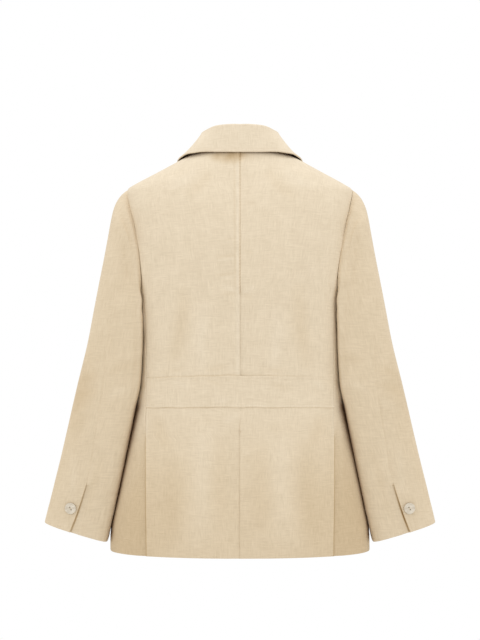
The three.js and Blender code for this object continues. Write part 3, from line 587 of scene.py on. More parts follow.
# ---- Sewing ----
# How deep and how wide the groove of a seam or an edge is.
TURNED_EDGE = (0.45, 0.9)
BAND_JOIN = (0.8, 1.5)
SLEEVE_SEAM = (0.5, 1.3)
COLLAR_EDGE = (0.5, 1.0)
BESIDE_SEAM = (3.2, 1.8)  # how far from a seam its pressed rounding lies, and how wide it is
EDGE_SEWN = 5
HEM_SEWN = 27
HEM_DEEP = 28
ALONE = 99  # a pitch so long that a line holds one stitch
STITCH = {"long": 2.5, "pitch": 3.3, "thick": 0.22}
STITCH_FORM = ((0.0, 0.5, -1.0), (0.5, 1.0, 0.5), (1.0, 0.5, -1.0))  # along, thickness, height
STITCH_SIDES = 6


def sew_down(cloth, distance, at, keep=None):
    """Notes a row of stitches at a distance from one of the piece's edges, where keep says so."""
    cloth.rows.append((distance, at, keep))


def sewn_lines(cloth):
    """The piece's rows of stitches: lines of points, the way out, and the bare length at both ends."""
    lines = []
    for distance, at, keep in cloth.rows:
        points, normals = cloth.line(distance, at)
        kept = np.full(len(points), True) if keep is None else keep(points)
        if kept.sum() > 1:
            lines.append((points[kept], normals[kept], at))
    return lines


def stitch_faces(number):
    """Four-sided faces of a number of threads, each three rings of points closed at both ends."""
    faces = []
    for low in (0, STITCH_SIDES):
        for k in range(STITCH_SIDES):
            j = (k + 1) % STITCH_SIDES
            faces.append((low + k, low + j, low + STITCH_SIDES + j, low + STITCH_SIDES + k))
    end = 2 * STITCH_SIDES
    faces += [(3, 2, 1, 0), (5, 4, 3, 0)]
    faces += [(end, end + 1, end + 2, end + 3), (end, end + 3, end + 4, end + 5)]
    return (np.array(faces)[None] + 3 * STITCH_SIDES * np.arange(number)[:, None, None]).reshape(-1, 4)


def stitches(name, lines, material, size=STITCH):
    """Slim threads laid end to end along lines of points, arched, with their ends in the cloth."""
    found = []
    for points, normals, bare in lines:
        along = travelled(points)
        room = along[-1] - 2 * bare
        number = max(1, int(room / size["pitch"]))
        middle = bare + (np.arange(number) + 0.5) * room / number
        pick = lambda at, v: np.stack([np.interp(at, along, v[:, k]) for k in range(3)], axis=-1)
        a, b = pick(middle - size["long"] / 2, points), pick(middle + size["long"] / 2, points)
        up = unit(pick(middle, normals))
        side = unit(np.cross(b - a, up))
        rings = []
        for share, thick, height in STITCH_FORM:
            for turn in np.arange(STITCH_SIDES) * 2 * math.pi / STITCH_SIDES:
                out = up * (height + thick * math.cos(turn)) + side * thick * math.sin(turn)
                rings.append(mix(a, b, share) + out * size["thick"])
        found.append(np.stack(rings, axis=1).reshape(-1, 3))
    points = np.concatenate(found)
    obj = mesh_object(name, points, stitch_faces(len(points) // (3 * STITCH_SIDES)), material, 75)
    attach(obj, "root")
    return obj


def across_cloth(x, z, front, length, lift):
    """A short level line over the body's form, for a bar of thread or a slit."""
    places = body_across(x + np.linspace(-length / 2, length / 2, 5), z, front)
    normals = body_normal(places)
    return places + normals * lift, normals, 0


# ---- Materials ----
class Nodes:
    def __init__(self, name):
        self.material = bpy.data.materials.new(name)
        self.material.use_nodes = True
        self.tree = self.material.node_tree
        self.tree.nodes.clear()

    def add(self, kind, settings=(), **inputs):
        node = self.tree.nodes.new("ShaderNode" + kind)
        for key, value in dict(settings).items():
            setattr(node, key, value)
        for key, value in inputs.items():
            socket = node.inputs[int(key[1:])] if key[0] == "_" else node.inputs[key.replace("_", " ")]
            if isinstance(value, bpy.types.NodeSocket):
                self.tree.links.new(value, socket)
            else:
                socket.default_value = value
        return node

    def math(self, operation, a, b=0.0):
        return self.add("Math", {"operation": operation}, _0=a, _1=b).outputs[0]

    def sum(self, a, b):
        return self.math("ADD", a, b)

    def times(self, a, b):
        return self.math("MULTIPLY", a, b)

    def product(self, a, b):
        """Two vectors or colours, multiplied part by part."""
        return self.add("VectorMath", {"operation": "MULTIPLY"}, _0=a, _1=b).outputs[0]

    def ramp(self, tone, dark, light, places=(0, 1)):
        """A colour between two, as a tone rises from one place to the other."""
        node = self.add("ValToRGB", Fac=tone)
        for element, place, colour in zip(node.color_ramp.elements, places, (dark, light)):
            element.position, element.color = place, (*colour, 1)
        return node.outputs[0]

    def attribute(self, name):
        return self.add("Attribute", {"attribute_name": name}).outputs["Vector"]

    def place(self):
        return self.add("TexCoord").outputs["Object"]

    def surface(self, colour, roughness, **inputs):
        """A material with a colour and a roughness, and what else its shader is given."""
        return self.finish(self.add("BsdfPrincipled", Base_Color=colour, Roughness=roughness, **inputs))

    def noise(self, vector, scale, detail=2.0, roughness=0.5):
        node = self.add("TexNoise", Vector=vector, Scale=scale, Detail=detail, Roughness=roughness)
        return node.outputs["Fac"]

    def shaded(self, colour):
        """The cloth's colour with its painted light and shade, and painted browner in hollows where the
        light hardly reaches.
        """
        shade = self.add("SeparateXYZ", Vector=self.attribute("shade"))
        lit = self.add("AmbientOcclusion", {"samples": 6}, Distance=HOLLOW["reach"]).outputs["AO"]
        hidden = self.math("SUBTRACT", 1.0, lit)
        deep = self.add("MapRange", Value=hidden, From_Min=HOLLOW["from"], From_Max=HOLLOW["to"]).outputs[0]
        dark = self.times(self.math("POWER", deep, HOLLOW["power"]), shade.outputs[1])
        hollow = self.add("Mix", {"data_type": "RGBA"}, _0=dark, _6=(1, 1, 1, 1), _7=HOLLOW["colour"])
        red, green, blue = (self.math("POWER", shade.outputs[0], power) for power in TONE_POWERS)
        tint = self.add("CombineXYZ", _0=red, _1=green, _2=blue)
        return self.product(self.product(hollow.outputs[2], colour), tint.outputs[0])

    def finish(self, shader):
        self.add("OutputMaterial", Surface=shader.outputs[0])
        return self.material


LINEN_DARK = (0.607, 0.503, 0.357)
LINEN_LIGHT = (0.81, 0.697, 0.53)
LINEN_PLACES = (0.2, 0.82)
SLUBS = {"along": 62, "across": 520}  # how fast the threads' thickness changes, for each metre
SHARES = {"weft": 0.22, "warp": 0.26, "patches": 0.34, "cloud": 0.2, "weave": 0.12}
THREAD_PITCH = 0.0009  # metres between threads
TONE_POWERS = (1.0, 1.4, 2.1)  # red, green and blue: darker cloth is a little browner too
# The brown of hollows that the light hardly reaches.
BACK_HOLLOW = 0.3  # the flat parts of the back show less of it
HOLLOW = {"reach": 0.08, "from": 0.42, "to": 0.95, "power": 1.4, "colour": (0.30, 0.15, 0.03, 1)}


def linen():
    """Plain weave with slubs both ways, stronger one way or the other from patch to patch."""
    n = Nodes("linen")
    at = n.attribute("cloth")
    weft = n.noise(n.product(at, (SLUBS["along"], SLUBS["across"], 1)), 1.0, 2.0, 0.55)
    warp = n.noise(n.product(at, (SLUBS["across"], SLUBS["along"], 1)), 1.0, 2.0, 0.55)
    cloud = n.noise(at, 30.0, 3.0, 0.6)
    patch_share = n.add("MapRange", Value=n.noise(at, 75.0, 1.0), From_Min=0.42, From_Max=0.58)
    patched = n.add("Mix", _0=patch_share.outputs[0], _2=warp, _3=weft)
    even = n.sum(n.times(weft, SHARES["weft"]), n.times(warp, SHARES["warp"]))
    slub = n.sum(even, n.times(patched.outputs[0], SHARES["patches"]))
    tone = n.sum(slub, n.times(cloud, SHARES["cloud"]))
    colour = n.shaded(n.ramp(tone, LINEN_DARK, LINEN_LIGHT, LINEN_PLACES))
    wave = 2 * math.pi / THREAD_PITCH
    across, along, _ = n.add("SeparateXYZ", Vector=n.product(at, (wave, wave, 1))).outputs
    over = n.times(n.math("SINE", across), n.math("SINE", along))
    height = n.sum(n.times(over, SHARES["weave"]), slub)
    bump = n.add("Bump", Strength=0.5, Distance=0.0004, Height=height).outputs[0]
    rough = n.sum(0.84, n.times(slub, 0.12))
    look = {"Specular_IOR_Level": 0.25, "Sheen_Weight": 0.04, "Sheen_Roughness": 0.5}
    return n.surface(colour, rough, Normal=bump, **look)


def thread():
    n = Nodes("thread")
    at = n.place()
    colour = n.ramp(n.noise(at, 300.0), (0.60, 0.48, 0.33), (0.80, 0.68, 0.50))
    twist = n.add("TexWave", {"wave_type": "BANDS"}, Vector=at, Scale=900.0, Distortion=2.0).outputs["Fac"]
    bump = n.add("Bump", Strength=0.4, Distance=0.0001, Height=twist).outputs[0]
    return n.surface(colour, 0.6, Normal=bump)


def shell_button():
    n = Nodes("shell_button")
    grain = n.noise(n.product(n.place(), (90, 260, 170)), 1.0, 4.0, 0.6)
    colour = n.ramp(grain, (0.52, 0.45, 0.345), (0.73, 0.665, 0.55), (0.3, 0.7))
    bump = n.add("Bump", Strength=0.15, Distance=0.0002, Height=grain).outputs[0]
    return n.surface(colour, n.sum(0.28, n.times(grain, 0.12)), Normal=bump)


def dark():
    """A dark material that paints the shadow inside a buttonhole's slit."""
    n = Nodes("dark")
    return n.surface(n.ramp(n.noise(n.place(), 800.0), (0.10, 0.07, 0.045), (0.16, 0.12, 0.08)), 0.95)


# ---- What the cloth pieces share ----
LINEN, THREAD, SLIT_SHADOW, BUTTON_SHELL = linen(), thread(), dark(), shell_button()
SIDES = (("left", 1), ("right", -1))
SALT_STEP = 0.37  # moves the linen's unevenness on from piece to piece
made = []  # the names of the cloth pieces


def add_cloth(cloth):
    """Makes a piece's shell on the root, which stands for the solid of the same name and hides it."""
    obj = shell(cloth, LINEN, SALT_STEP * len(made))
    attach(obj, "root")
    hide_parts(cloth.name)
    sewn = [stitches(cloth.name + "_stitches", sewn_lines(cloth), THREAD)] if cloth.rows else []
    width, length, area = cloth.flat()
    made.append(cloth.name)


GAP_TOP = -425  # below this height the gap between sleeve and body opens


def beside_gap(z):
    """How far the gap between sleeve and body is open at a height."""
    return smooth(z, GAP_TOP, GAP_TOP - 25)


def body_wave(x, z, phase=0.0):
    """The low unevenness of cloth that hangs on a round form."""
    broad = 0.45 * np.sin(x / 31 + z / 74 + phase) * np.sin(z / 47 - x / 90 + 1.3 + phase)
    fine = 0.16 * np.sin(x / 13.7 - z / 21 + 2.1 + phase) * np.sin(z / 17.3 + x / 29 + 0.4)
    return broad + fine


def tuck(cloth, reach, below, depth=TUCK["depth"]):
    """Sinks the first columns below a height, where they pass under their neighbour."""
    over = cloth.start - reach
    free = smooth(cloth.z, below + TUCK["ramp"], below)
    cloth.relief = cloth.relief - depth * passed_under(over) * free


def passed_under(over):
    """1 where cloth lies under its neighbour, whose edge is where over is 0, and 0 past the slope."""
    return smooth(over, TUCK["slope"], TUCK["flat"])


def tuck_reach(z, below):
    """How far a piece reaches under its neighbour at a height: not at all above the pleat or vent."""
    return TUCK["under"] * smooth(z, below - 1, below - TUCK["flat"] - 2)


def pleat_edge(heights, pleat, under):
    """The edge in the middle of the back, by row: below the pleat the under half passes the middle."""

    def edge(row):
        z = at_row(heights, row)
        return body_across(-tuck_reach(z, pleat) if under else 0 * z, z, False)

    return edge


def sewn_above(cloth, opening):
    """1 where a seam is sewn, and 0 below the height where it opens."""
    return smooth(cloth.z, opening - 4, opening + 6)


# ---- Back ----
NECK_SHARE = 0.44
WELT = {"width": 10, "rise": 0.6, "sewn": 8.6, "ridge": 4.2}
CENTRE_SEAM_SHADE = {"pitch": 5.6, "dark": 0.3}

BACK_CREASES = table(
    CREASE_COLUMNS,
    # the faint folds beside the centre seam, on the wearer's left
    (3, -157, 28, -160, 1, 2.4, -0.5),
    (3, -161, 30, -166, -1, 3, 0.35),
    (4, -188, 44, -192, -2, 2.4, -0.5),
    (6, -193, 40, -197, -1, 3, 0.35),
    (3, -214, 44, -219, 2, 2.4, -0.55),
    (5, -220, 36, -225, 1, 3, 0.35),
    (-4, -96, -30, -101, 1, 3, -0.3),
    (-3, -176, -26, -182, -1, 3, -0.3),
    # soft drags from the neck and the shoulder ends
    (48, -38, 96, -84, 6, 9, -0.5),
    (-46, -36, -98, -90, -6, 9, -0.5),
    (70, -34, 128, -70, 5, 8, 0.4),
    (-72, -34, -126, -66, -5, 8, 0.4),
    # long slack folds below the blades
    (96, -236, 118, -382, 6, 13, -0.8),
    (-102, -228, -120, -386, -7, 14, -0.8),
    (58, -262, 66, -386, -4, 12, 0.5),
    (-62, -270, -56, -384, 4, 12, 0.5),
    # where the back blouses over the band
    (20, -372, 62, -381, 2, 5, -0.5),
    (92, -378, 140, -384, 2, 5, -0.45),
    (-30, -377, -84, -381, -2, 5, -0.4),
    # the fan from the tack
    (2, -249, 30, -236, 1, 4, 0.5),
    (2, -251, 34, -252, 0, 4, -0.45),
    (-2, -250, -26, -238, -1, 4, 0.4),
    (-2, -252, -24, -262, 1, 5, -0.35),
)


def back_top(s):
    """A back half's top row, along the neck seam and then the shoulder seam."""
    neck = neckline(90 * np.minimum(s / NECK_SHARE, 1))
    return np.where((s <= NECK_SHARE)[:, None], neck, shoulder_seam((s - NECK_SHARE) / (1 - NECK_SHARE)))


def welt(cloth, seamed):
    """The fold sewn down beside the centre seam, and below it the pleat's free edge, with painted
    highlights on the fold and the free edge and painted shade beside the sewn line.
    """
    raised = smooth(cloth.start, WELT["width"] + 1.6, WELT["width"] - 1.2)
    cloth.relief += WELT["rise"] * raised * seamed
    cloth.ridge(cloth.start, WELT["ridge"], 0.35, 1.8, seamed)
    cloth.mark(cloth.start, WELT["ridge"], 2.2, 0.035, seamed)
    cloth.ridge(cloth.start, 1, 0.3, 3, 1 - seamed)
    cloth.mark(cloth.start, 4, 3, 0.03, 1 - seamed)
    cloth.seam(cloth.start - WELT["sewn"], 0.25, 0.9, seamed)
    cloth.mark(cloth.start, WELT["sewn"] + 1.2, 1.2, -0.035, seamed)


def back(side, sign):
    under = side == "right"
    inner = pleat_edge(BACK_CENTRE_Z, BACK_PLEAT_Z, under)
    outer = lambda row: body_seam("back", row + BAND_LEVEL + 2)
    bottom = lambda x: band_edge(x, "top", sign)
    points = panel("back", inner, outer, len(BACK_CENTRE_Z) - 1, bottom, lambda x, s: back_top(s))
    cloth = on_body("back_" + side, points, sign, full=True)
    seamed = sewn_above(cloth, BACK_PLEAT_Z)
    if under:
        tuck(cloth, tuck_reach(points[:, :1, 2], BACK_PLEAT_Z), BACK_PLEAT_Z, TUCK["shallow"])
    else:
        welt(cloth, seamed)
    cloth.seam(cloth.start, 0.7, 0.9, seamed)
    cloth.pucker(cloth.start - (5 if sign > 0 else 0), cloth.z, 0.3, 5, 0.7, seamed)
    # painted shade: a dotted dark line along the centre seam's groove
    cloth.tone *= 1 - dotted(cloth.z) * hump(cloth.start, 0.9) * seamed
    pressed_open(cloth, cloth.end, armhole_depth(cloth.z))
    # painted highlight on the rounding beside the side-back seam, below the armhole
    cloth.mark(cloth.end, *BESIDE_SEAM, 0.04, smooth(cloth.z, -262, -275))
    cloth.seam(cloth.bottom, *BAND_JOIN, mix(0.25, 1, left_half(cloth.x)) * band_line(cloth.x))
    cloth.pucker(cloth.bottom, cloth.start, 0.25, 3, 1.9 + sign)
    cloth.seam(cloth.top)
    cloth.relief += body_wave(cloth.x, cloth.z)
    cloth.crease(BACK_CREASES, cloth.x, cloth.z)
    under_collar(cloth)
    if not under:
        sew_down(cloth, cloth.start, WELT["sewn"], lambda p: p[:, 2] > BACK_PLEAT_Z + 3)
    add_cloth(cloth)


def dotted(z):
    """The centre seam's painted shade: an uneven dotted dark line along its groove."""
    mark = 0.5 + 0.5 * np.sin(2 * math.pi * z / CENTRE_SEAM_SHADE["pitch"] + 1.3 * np.sin(z / 19))
    return CENTRE_SEAM_SHADE["dark"] * mark * (0.7 + 0.3 * np.sin(z / 37 + 1))


# The painted shadow below the collar: how dark it is, and where across the back it is darkest.
COLLAR_SHADOW_DARK = 0.4
COLLAR_SHADOW = table("x width dark", (8, 20, 0.85), (40, 13, 0.55))


def under_collar(cloth):
    """Paints the uneven soft shadow that lies on the back just below the collar, and lets the painted brown
    of hollows show only near the collar.
    """
    x, z = cloth.x, cloth.z
    cloth.hollow *= 0.8 * smooth(z, -60, -30)
    painted_shadow = sum(dark * hump(x - at, width) for at, width, dark in zip(*COLLAR_SHADOW.values()))
    uneven = 0.75 + 0.25 * np.sin(x / 5.1 + z / 7) * np.sin(x / 9.7 - 0.6)
    cloth.tone *= 1 - COLLAR_SHADOW_DARK * painted_shadow * uneven * smooth(z, -30 - 4 * np.sin(x / 11), -13)


def pressed_open(cloth, distance, where=1.0):
    """A plain seam pressed open: a groove with a low rounding beside it."""
    cloth.seam(distance, where=where)
    cloth.ridge(distance, 4, 0.22, 2.4, where)


def armhole_depth(z):
    """How sharply the armhole's seam shows: hardly at the shoulder, and clearly below the blades."""
    return mix(0.05, 0.75, smooth(z, -150, -240))


def left_half(x):
    """0 on the wearer's right half of the back, rising to 1 a little way into the left."""
    return smooth(x, -4, 20)


def band_line(x, least=0.5):
    """How clearly the band's edge shows at a place across the back, which differs a little."""
    uneven = 0.75 + 0.25 * np.sin(x / 7.3 + 0.4) * np.sin(x / 29)
    beside = mix(least, 1, left_half(x) + smooth(x, -6, -40) * 0.5)
    return uneven * beside * (1 - 0.6 * hump(x - 13, 11))


# ---- Back skirt ----
SKIRT_CREASES = table(
    CREASE_COLUMNS,
    (60, -470, 74, -690, 6, 26, 0.9),
    (-66, -480, -80, -690, -6, 26, 0.9),
    (110, -520, 122, -690, 4, 20, -0.7),
    (-112, -500, -126, -690, -4, 20, -0.7),
    (4, -452, 30, -470, 2, 6, 0.4),
    (-4, -520, -18, -522, 0, 2.4, 0.4),
    (-4, -530, -19, -533, 0, 2.4, -0.4),
    (-4, -541, -18, -545, 0, 2.4, 0.4),
    (30, -488, 36, -640, -4, 18, -0.6),
    (-34, -500, -40, -660, 4, 20, -0.6),
    (140, -455, 120, -520, -6, 12, -0.6),
    (-140, -455, -116, -516, 6, 12, -0.6),
)


def skirt(side, sign):
    under = side == "left"
    inner = pleat_edge(SKIRT_CENTRE_Z, SKIRT_PLEAT_Z, under)
    outer = lambda row: body_seam("back", row)
    bottom = lambda x: body_across(x, HEM_Z + 0 * x, False)
    points = panel("skirt", inner, outer, BAND_LEVEL, bottom, lambda x, s: band_edge(x, "bottom", sign))
    cloth = on_body("back_skirt_" + side, points, sign, full=True)
    seamed = sewn_above(cloth, SKIRT_PLEAT_Z)
    if under:
        tuck(cloth, tuck_reach(points[:, :1, 2], SKIRT_PLEAT_Z), SKIRT_PLEAT_Z, TUCK["shallow"])
    else:
        cloth.ridge(cloth.start, 1, 0.12, 3, 1 - seamed)
    cloth.seam(cloth.start, 0.4, where=seamed)
    joined = sewn_above(cloth, SIDE_VENT_Z)
    cloth.seam(cloth.end, where=joined)
    cloth.ridge(cloth.end, 4, 0.3, 2.4, joined)
    # painted highlight on the rounding beside the side-back seam, and below the vent's top a painted shadow
    # along the vent's edge
    cloth.mark(cloth.end, *BESIDE_SEAM, 0.05, joined)
    cloth.ridge(cloth.end, 1, 0.7, 3, 1 - joined)
    cloth.mark(cloth.end, 0, 0.9, -0.45, 1 - joined)
    cloth.seam(cloth.top, *BAND_JOIN, band_line(cloth.x))
    cloth.pucker(cloth.top, cloth.start, 0.25, 3, 0.4 + sign)
    hem(cloth)
    cloth.relief += body_wave(cloth.x, cloth.z, 0.8)
    cloth.crease(SKIRT_CREASES, cloth.x, cloth.z)
    cloth.hollow *= BACK_HOLLOW
    hang(cloth)
    sew_down(cloth, cloth.bottom, HEM_SEWN, lambda p: np.abs(p[:, 0]) > 1)
    add_cloth(cloth)


HANG = {"from": -410, "to": -640, "middle": 0.08, "side": 0.13, "middle_x": 80, "side_x": 165}


def hanging_tone(z, outward):
    """The cloth that hangs turns from the light, most near the hem and at the sides."""
    return 1 - smooth(z, HANG["from"], HANG["to"]) * mix(HANG["middle"], HANG["side"], outward)


def hang(cloth):
    """Darkens a piece where it hangs, which turns from the light more to the sides."""
    cloth.tone *= hanging_tone(cloth.z, smooth(np.abs(cloth.x), HANG["middle_x"], HANG["side_x"]))


def allowance(cloth, distance, deep):
    """The soft step where the turned cloth behind an edge ends."""
    cloth.relief = cloth.relief + 0.25 * smooth(distance, deep + 3, deep - 2)


def hem(cloth):
    """The hem's turned edge, and the ripples where its allowance ends."""
    cloth.seam(cloth.bottom, *TURNED_EDGE)
    allowance(cloth, cloth.bottom, HEM_DEEP)
    cloth.pucker(cloth.bottom - HEM_DEEP + 4, cloth.start, 0.12, 6, 1.1)


# ---- Waist band ----
BAND_SEWN = 4.6
BAND_CREASES = table(
    CREASE_COLUMNS,
    (118, -402, 84, -414, 2, 4, 0.35),
    (60, -400, 30, -408, 2, 4, -0.35),
    (-50, -404, -92, -412, -2, 5, -0.3),
    (-120, -398, -146, -418, 3, 5, 0.35),
    (14, -430, 44, -436, 1, 4, 0.3),
)


def band():
    columns = shares(*GRID["band"])
    columns = np.concatenate([-columns[:0:-1], columns])
    ends = [body_seam("back", np.array([float(BAND_LEVEL + i)]))[0, 0] for i in (0, 2)]
    low, high = band_edge(columns * ends[0], "bottom"), band_edge(columns * ends[1], "top")
    share = shares(*GRID["band_up"])[:, None]
    flat = mix(low[None], high[None], share[..., None])
    points = body_across(flat[..., 0], flat[..., 2], False)
    worn = fuller(points, np.sign(points[..., 0]))
    cloth = Cloth("back_band", worn, body_normal(points), lift=BAND["proud"] + 0 * points[..., 0])
    for distance, phase in ((cloth.bottom, 0.3), (cloth.top, 2.2)):
        clear = mix(0.3, 1, left_half(cloth.x)) if distance is cloth.top else 1
        cloth.seam(distance, 0.6, 0.9, clear * band_line(cloth.x))
        cloth.ridge(distance, 2.4, 0.35, 1.2)
        cloth.seam(distance - BAND_SEWN, 0.25, 0.8)
        cloth.pucker(distance - 3, cloth.x, 0.35, 4, phase)
        sew_down(cloth, distance, BAND_SEWN)
    cloth.ridge(cloth.x, -2, 0.4, 2.2, smooth(cloth.bottom, 16, 4))
    cloth.seam(cloth.x, 0.35, 1.2, smooth(cloth.top, 10, 2))
    # painted highlights on the roundings beside the band's ends
    for distance in (cloth.start, cloth.end):
        cloth.seam(distance, 0.8, 1.3)
        cloth.mark(distance, *BESIDE_SEAM, 0.04)
    right = smooth(cloth.x, -6, -14)
    # painted highlight along the bottom edge's rounding, and painted shade in the grooves at both edges
    cloth.mark(cloth.bottom, 2.4, 1.2, 0.035, mix(0.5, 1, right))
    cloth.mark(cloth.bottom, 0, 0.9, -0.16, band_line(cloth.x))
    cloth.mark(cloth.top, 0, 0.9, -0.12, band_line(cloth.x, 0.3) * (1 - right))
    cloth.crease(BAND_CREASES, cloth.x, cloth.z)
    cloth.relief += body_wave(cloth.x, cloth.z, 1.7)
    cloth.hollow *= BACK_HOLLOW
    add_cloth(cloth)


# ---- Side panels ----
SIDE_CREASES = table(
    # round the body from the middle of the back, in millimetres, and up
    CREASE_COLUMNS,
    (214, -268, 268, -352, 8, 8, -0.8),
    (226, -262, 292, -330, 8, 8, 0.6),
    (392, -276, 330, -356, -8, 8, -0.8),
    (212, -398, 300, -414, 5, 6, -0.7),
    (386, -392, 310, -408, -4, 6, -0.7),
    (390, -414, 322, -420, 3, 6, 0.5),
    (256, -452, 270, -690, 6, 22, 1.0),
    (318, -440, 336, -690, -5, 20, -1.0),
    (366, -470, 372, -690, 4, 18, 0.8),
)


MM_PER_DEGREE = 3.3
BULGE = 1.25  # how much longer a panel is round the form than straight across
SIDE_SEWN_FROM = 162


def panel_points(a, b, row, s):
    """Points of a side panel between its edges a and b, at its rows and at shares across."""
    share = (row / SEAM_TOP)[:, None]
    low, high = (at_row(LEVELS[k], row)[:, None] for k in ("back", "front"))
    turns = [np.degrees(np.arctan2(p[:, 0], p[:, 1]))[:, None] for p in (a, b)]
    edge = armhole(mix(ARMHOLE["back_seam"], ARMHOLE["front_seam"], s))
    top_level = mix(LEVELS["back"][-1], LEVELS["front"][-1], s)
    level = mix(low, high, s) + (edge[..., 2] - top_level) * share**3
    formed = body_at(mix(turns[0], turns[1], s), level)
    end = formed[-1] - edge[-1]
    return settle(formed - end[None] * near_underarm(row)[:, None, None])


def side_panel(side, sign):
    inner = lambda row: body_seam("back", row)
    outer = lambda row: body_seam("front", row)
    rows = spread_rows(inner, outer, SEAM_TOP, STEP["side_panel"])
    a, b = inner(rows), outer(rows)
    width = np.linalg.norm(b - a, axis=1)
    reach = tuck_reach(a[:, 2], SIDE_VENT_Z)
    columns = shares(*GRID["side_panel"])
    s = mix(-(reach / (BULGE * width))[:, None], 1, columns[None])
    cloth = on_body("side_panel_" + side, panel_points(a, b, rows, s), sign, full=True)
    joined = sewn_above(cloth, SIDE_VENT_Z)
    tuck(cloth, reach[:, None], SIDE_VENT_Z)
    cloth.seam(cloth.start, where=joined)
    pressed_open(cloth, cloth.end)
    cloth.seam(cloth.top)
    hem(cloth)
    around = np.degrees(np.arctan2(np.abs(cloth.x), cloth.points[..., 1])) * MM_PER_DEGREE
    cloth.relief += body_wave(around, cloth.z, 2.4 + sign)
    cloth.crease(SIDE_CREASES, around + 9 * sign, cloth.z)
    cloth.hollow *= beside_gap(cloth.z)
    behind = smooth(around, 330, 250)
    # painted shade: darker where it hangs, and more so low down towards the back, where the sleeve hangs
    # over it
    cloth.tone *= hanging_tone(cloth.z, 1) * mix(1, 0.92, smooth(cloth.z, -460, -520) * behind)
    sew_down(cloth, cloth.bottom, HEM_SEWN, lambda p: np.abs(p[:, 0]) > SIDE_SEWN_FROM)
    add_cloth(cloth)


# ---- Fronts ----
FRONT_NECK_SHARE = 0.3
POCKETS = (
    {
        "name": "hip_pocket", "start": 52, "end": 156,
        "bottom": -612, "top": -458, "flap_top": -444, "flap": 56,
    },
    {
        "name": "chest_pocket", "start": 76, "end": 150,
        "bottom": -305, "top": -207, "flap_top": -193, "flap": 40,
    },
)
POCKET = {"cloth": 1.2, "inset": 2, "point": 7, "flap_ease": 0.5, "seam": 0.3}
FRONT_CREASES = table(
    CREASE_COLUMNS,
    # drags towards the buttons
    (14, -301, 72, -262, 3, 7, -0.7),
    (16, -308, 66, -330, -3, 7, 0.5),
    (-14, -302, -68, -270, -3, 7, -0.7),
    (14, -396, 78, -382, 3, 7, -0.7),
    (-15, -398, -74, -386, -3, 7, -0.6),
    (-14, -404, -60, -424, 3, 7, 0.5),
    (14, -492, 52, -560, 6, 9, -0.6),
    (-14, -492, -50, -566, -6, 9, -0.6),
    # from the armholes down to the waist
    (138, -228, 104, -386, -10, 13, -0.9),
    (-140, -234, -100, -384, 10, 13, -0.9),
    (150, -250, 128, -380, -6, 11, 0.6),
    (-150, -246, -126, -372, 6, 11, 0.6),
    # the waist's slack, and the skirts' hang
    (150, -398, 92, -412, -5, 7, -0.7),
    (-152, -402, -96, -410, 5, 7, -0.7),
    (36, -520, 44, -690, 5, 17, 0.8),
    (-38, -530, -46, -690, -5, 17, 0.8),
    (116, -620, 122, -692, 3, 18, -0.8),
    (-120, -616, -126, -692, -3, 18, -0.8),
    # off the shoulders
    (120, -84, 92, -150, -6, 10, -0.6),
    (-122, -82, -96, -156, 6, 10, -0.6),
)


def front_lift(side, x):
    """How far a front stands off the form: the left one is sunk where the right one covers it."""
    return -UNDER_FRONT["depth"] * smooth(x, UNDER_FRONT["start"], UNDER_FRONT["end"]) * (side == "left")


def front_relief(x, z, sign):
    return body_wave(x * sign, z, 3.1 + sign)


def front_top(s):
    """A front's top row, along the neck seam and then the shoulder seam."""
    u = s / FRONT_NECK_SHARE
    neck = neckline(mix(GORGE_AROUND, 90, np.minimum(u, 1)))
    shoulder = shoulder_seam(np.maximum(s - FRONT_NECK_SHARE, 0) / (1 - FRONT_NECK_SHARE))
    return np.where((u <= 1)[:, None], neck, shoulder)


def front(side, sign):
    last = SEAM_TOP + ARMHOLE_ROWS

    def inner(row):
        z = at_row(FRONT_EDGE_Z, np.minimum(row, BREAK_LEVEL))
        edge = body_across(-FRONT_OVERLAP + 0 * row, z, True)
        roll = roll_line(np.maximum(row - BREAK_LEVEL, 0) / (last - BREAK_LEVEL))
        return np.where((row <= BREAK_LEVEL)[:, None], edge, roll)

    outer = lambda row: body_seam("front", row)
    bottom = lambda x: body_across(x, HEM_Z + 0 * x, True)
    points = panel("front", inner, outer, last, bottom, lambda x, s: front_top(s))
    lift = front_lift(side, points[..., 0])
    cloth = on_body("front_" + side, points, sign, lift=lift)
    cloth.seam(cloth.start, *TURNED_EDGE)
    cloth.ridge(cloth.start, 3, 0.25, 2)
    pressed_open(cloth, cloth.end)
    cloth.seam(cloth.top)
    hem(cloth)
    cloth.relief += front_relief(points[..., 0], points[..., 2], sign)
    cloth.crease(FRONT_CREASES, cloth.x, cloth.z)
    hang(cloth)
    sew_down(cloth, cloth.start, EDGE_SEWN, lambda p: p[:, 2] < BREAK_Z - 6)
    sew_down(cloth, cloth.bottom, HEM_SEWN)
    add_cloth(cloth)


def patch(name, sign, x, z, lift):
    """A piece that lies on the front, over a grid of places across and up."""
    cloth = on_body(name, body_across(x, z, True), sign, lift=lift + 0 * x)
    for distance in (cloth.start, cloth.end, cloth.bottom, cloth.top):
        cloth.seam(distance, 0.35, 0.9)
        cloth.ridge(distance, 3.4, 0.18, 2)
        cloth.seam(distance - EDGE_SEWN, 0.18, 0.8)
        sew_down(cloth, distance, EDGE_SEWN)
    cloth.relief += front_relief(x, z, sign)
    hang(cloth)
    return cloth


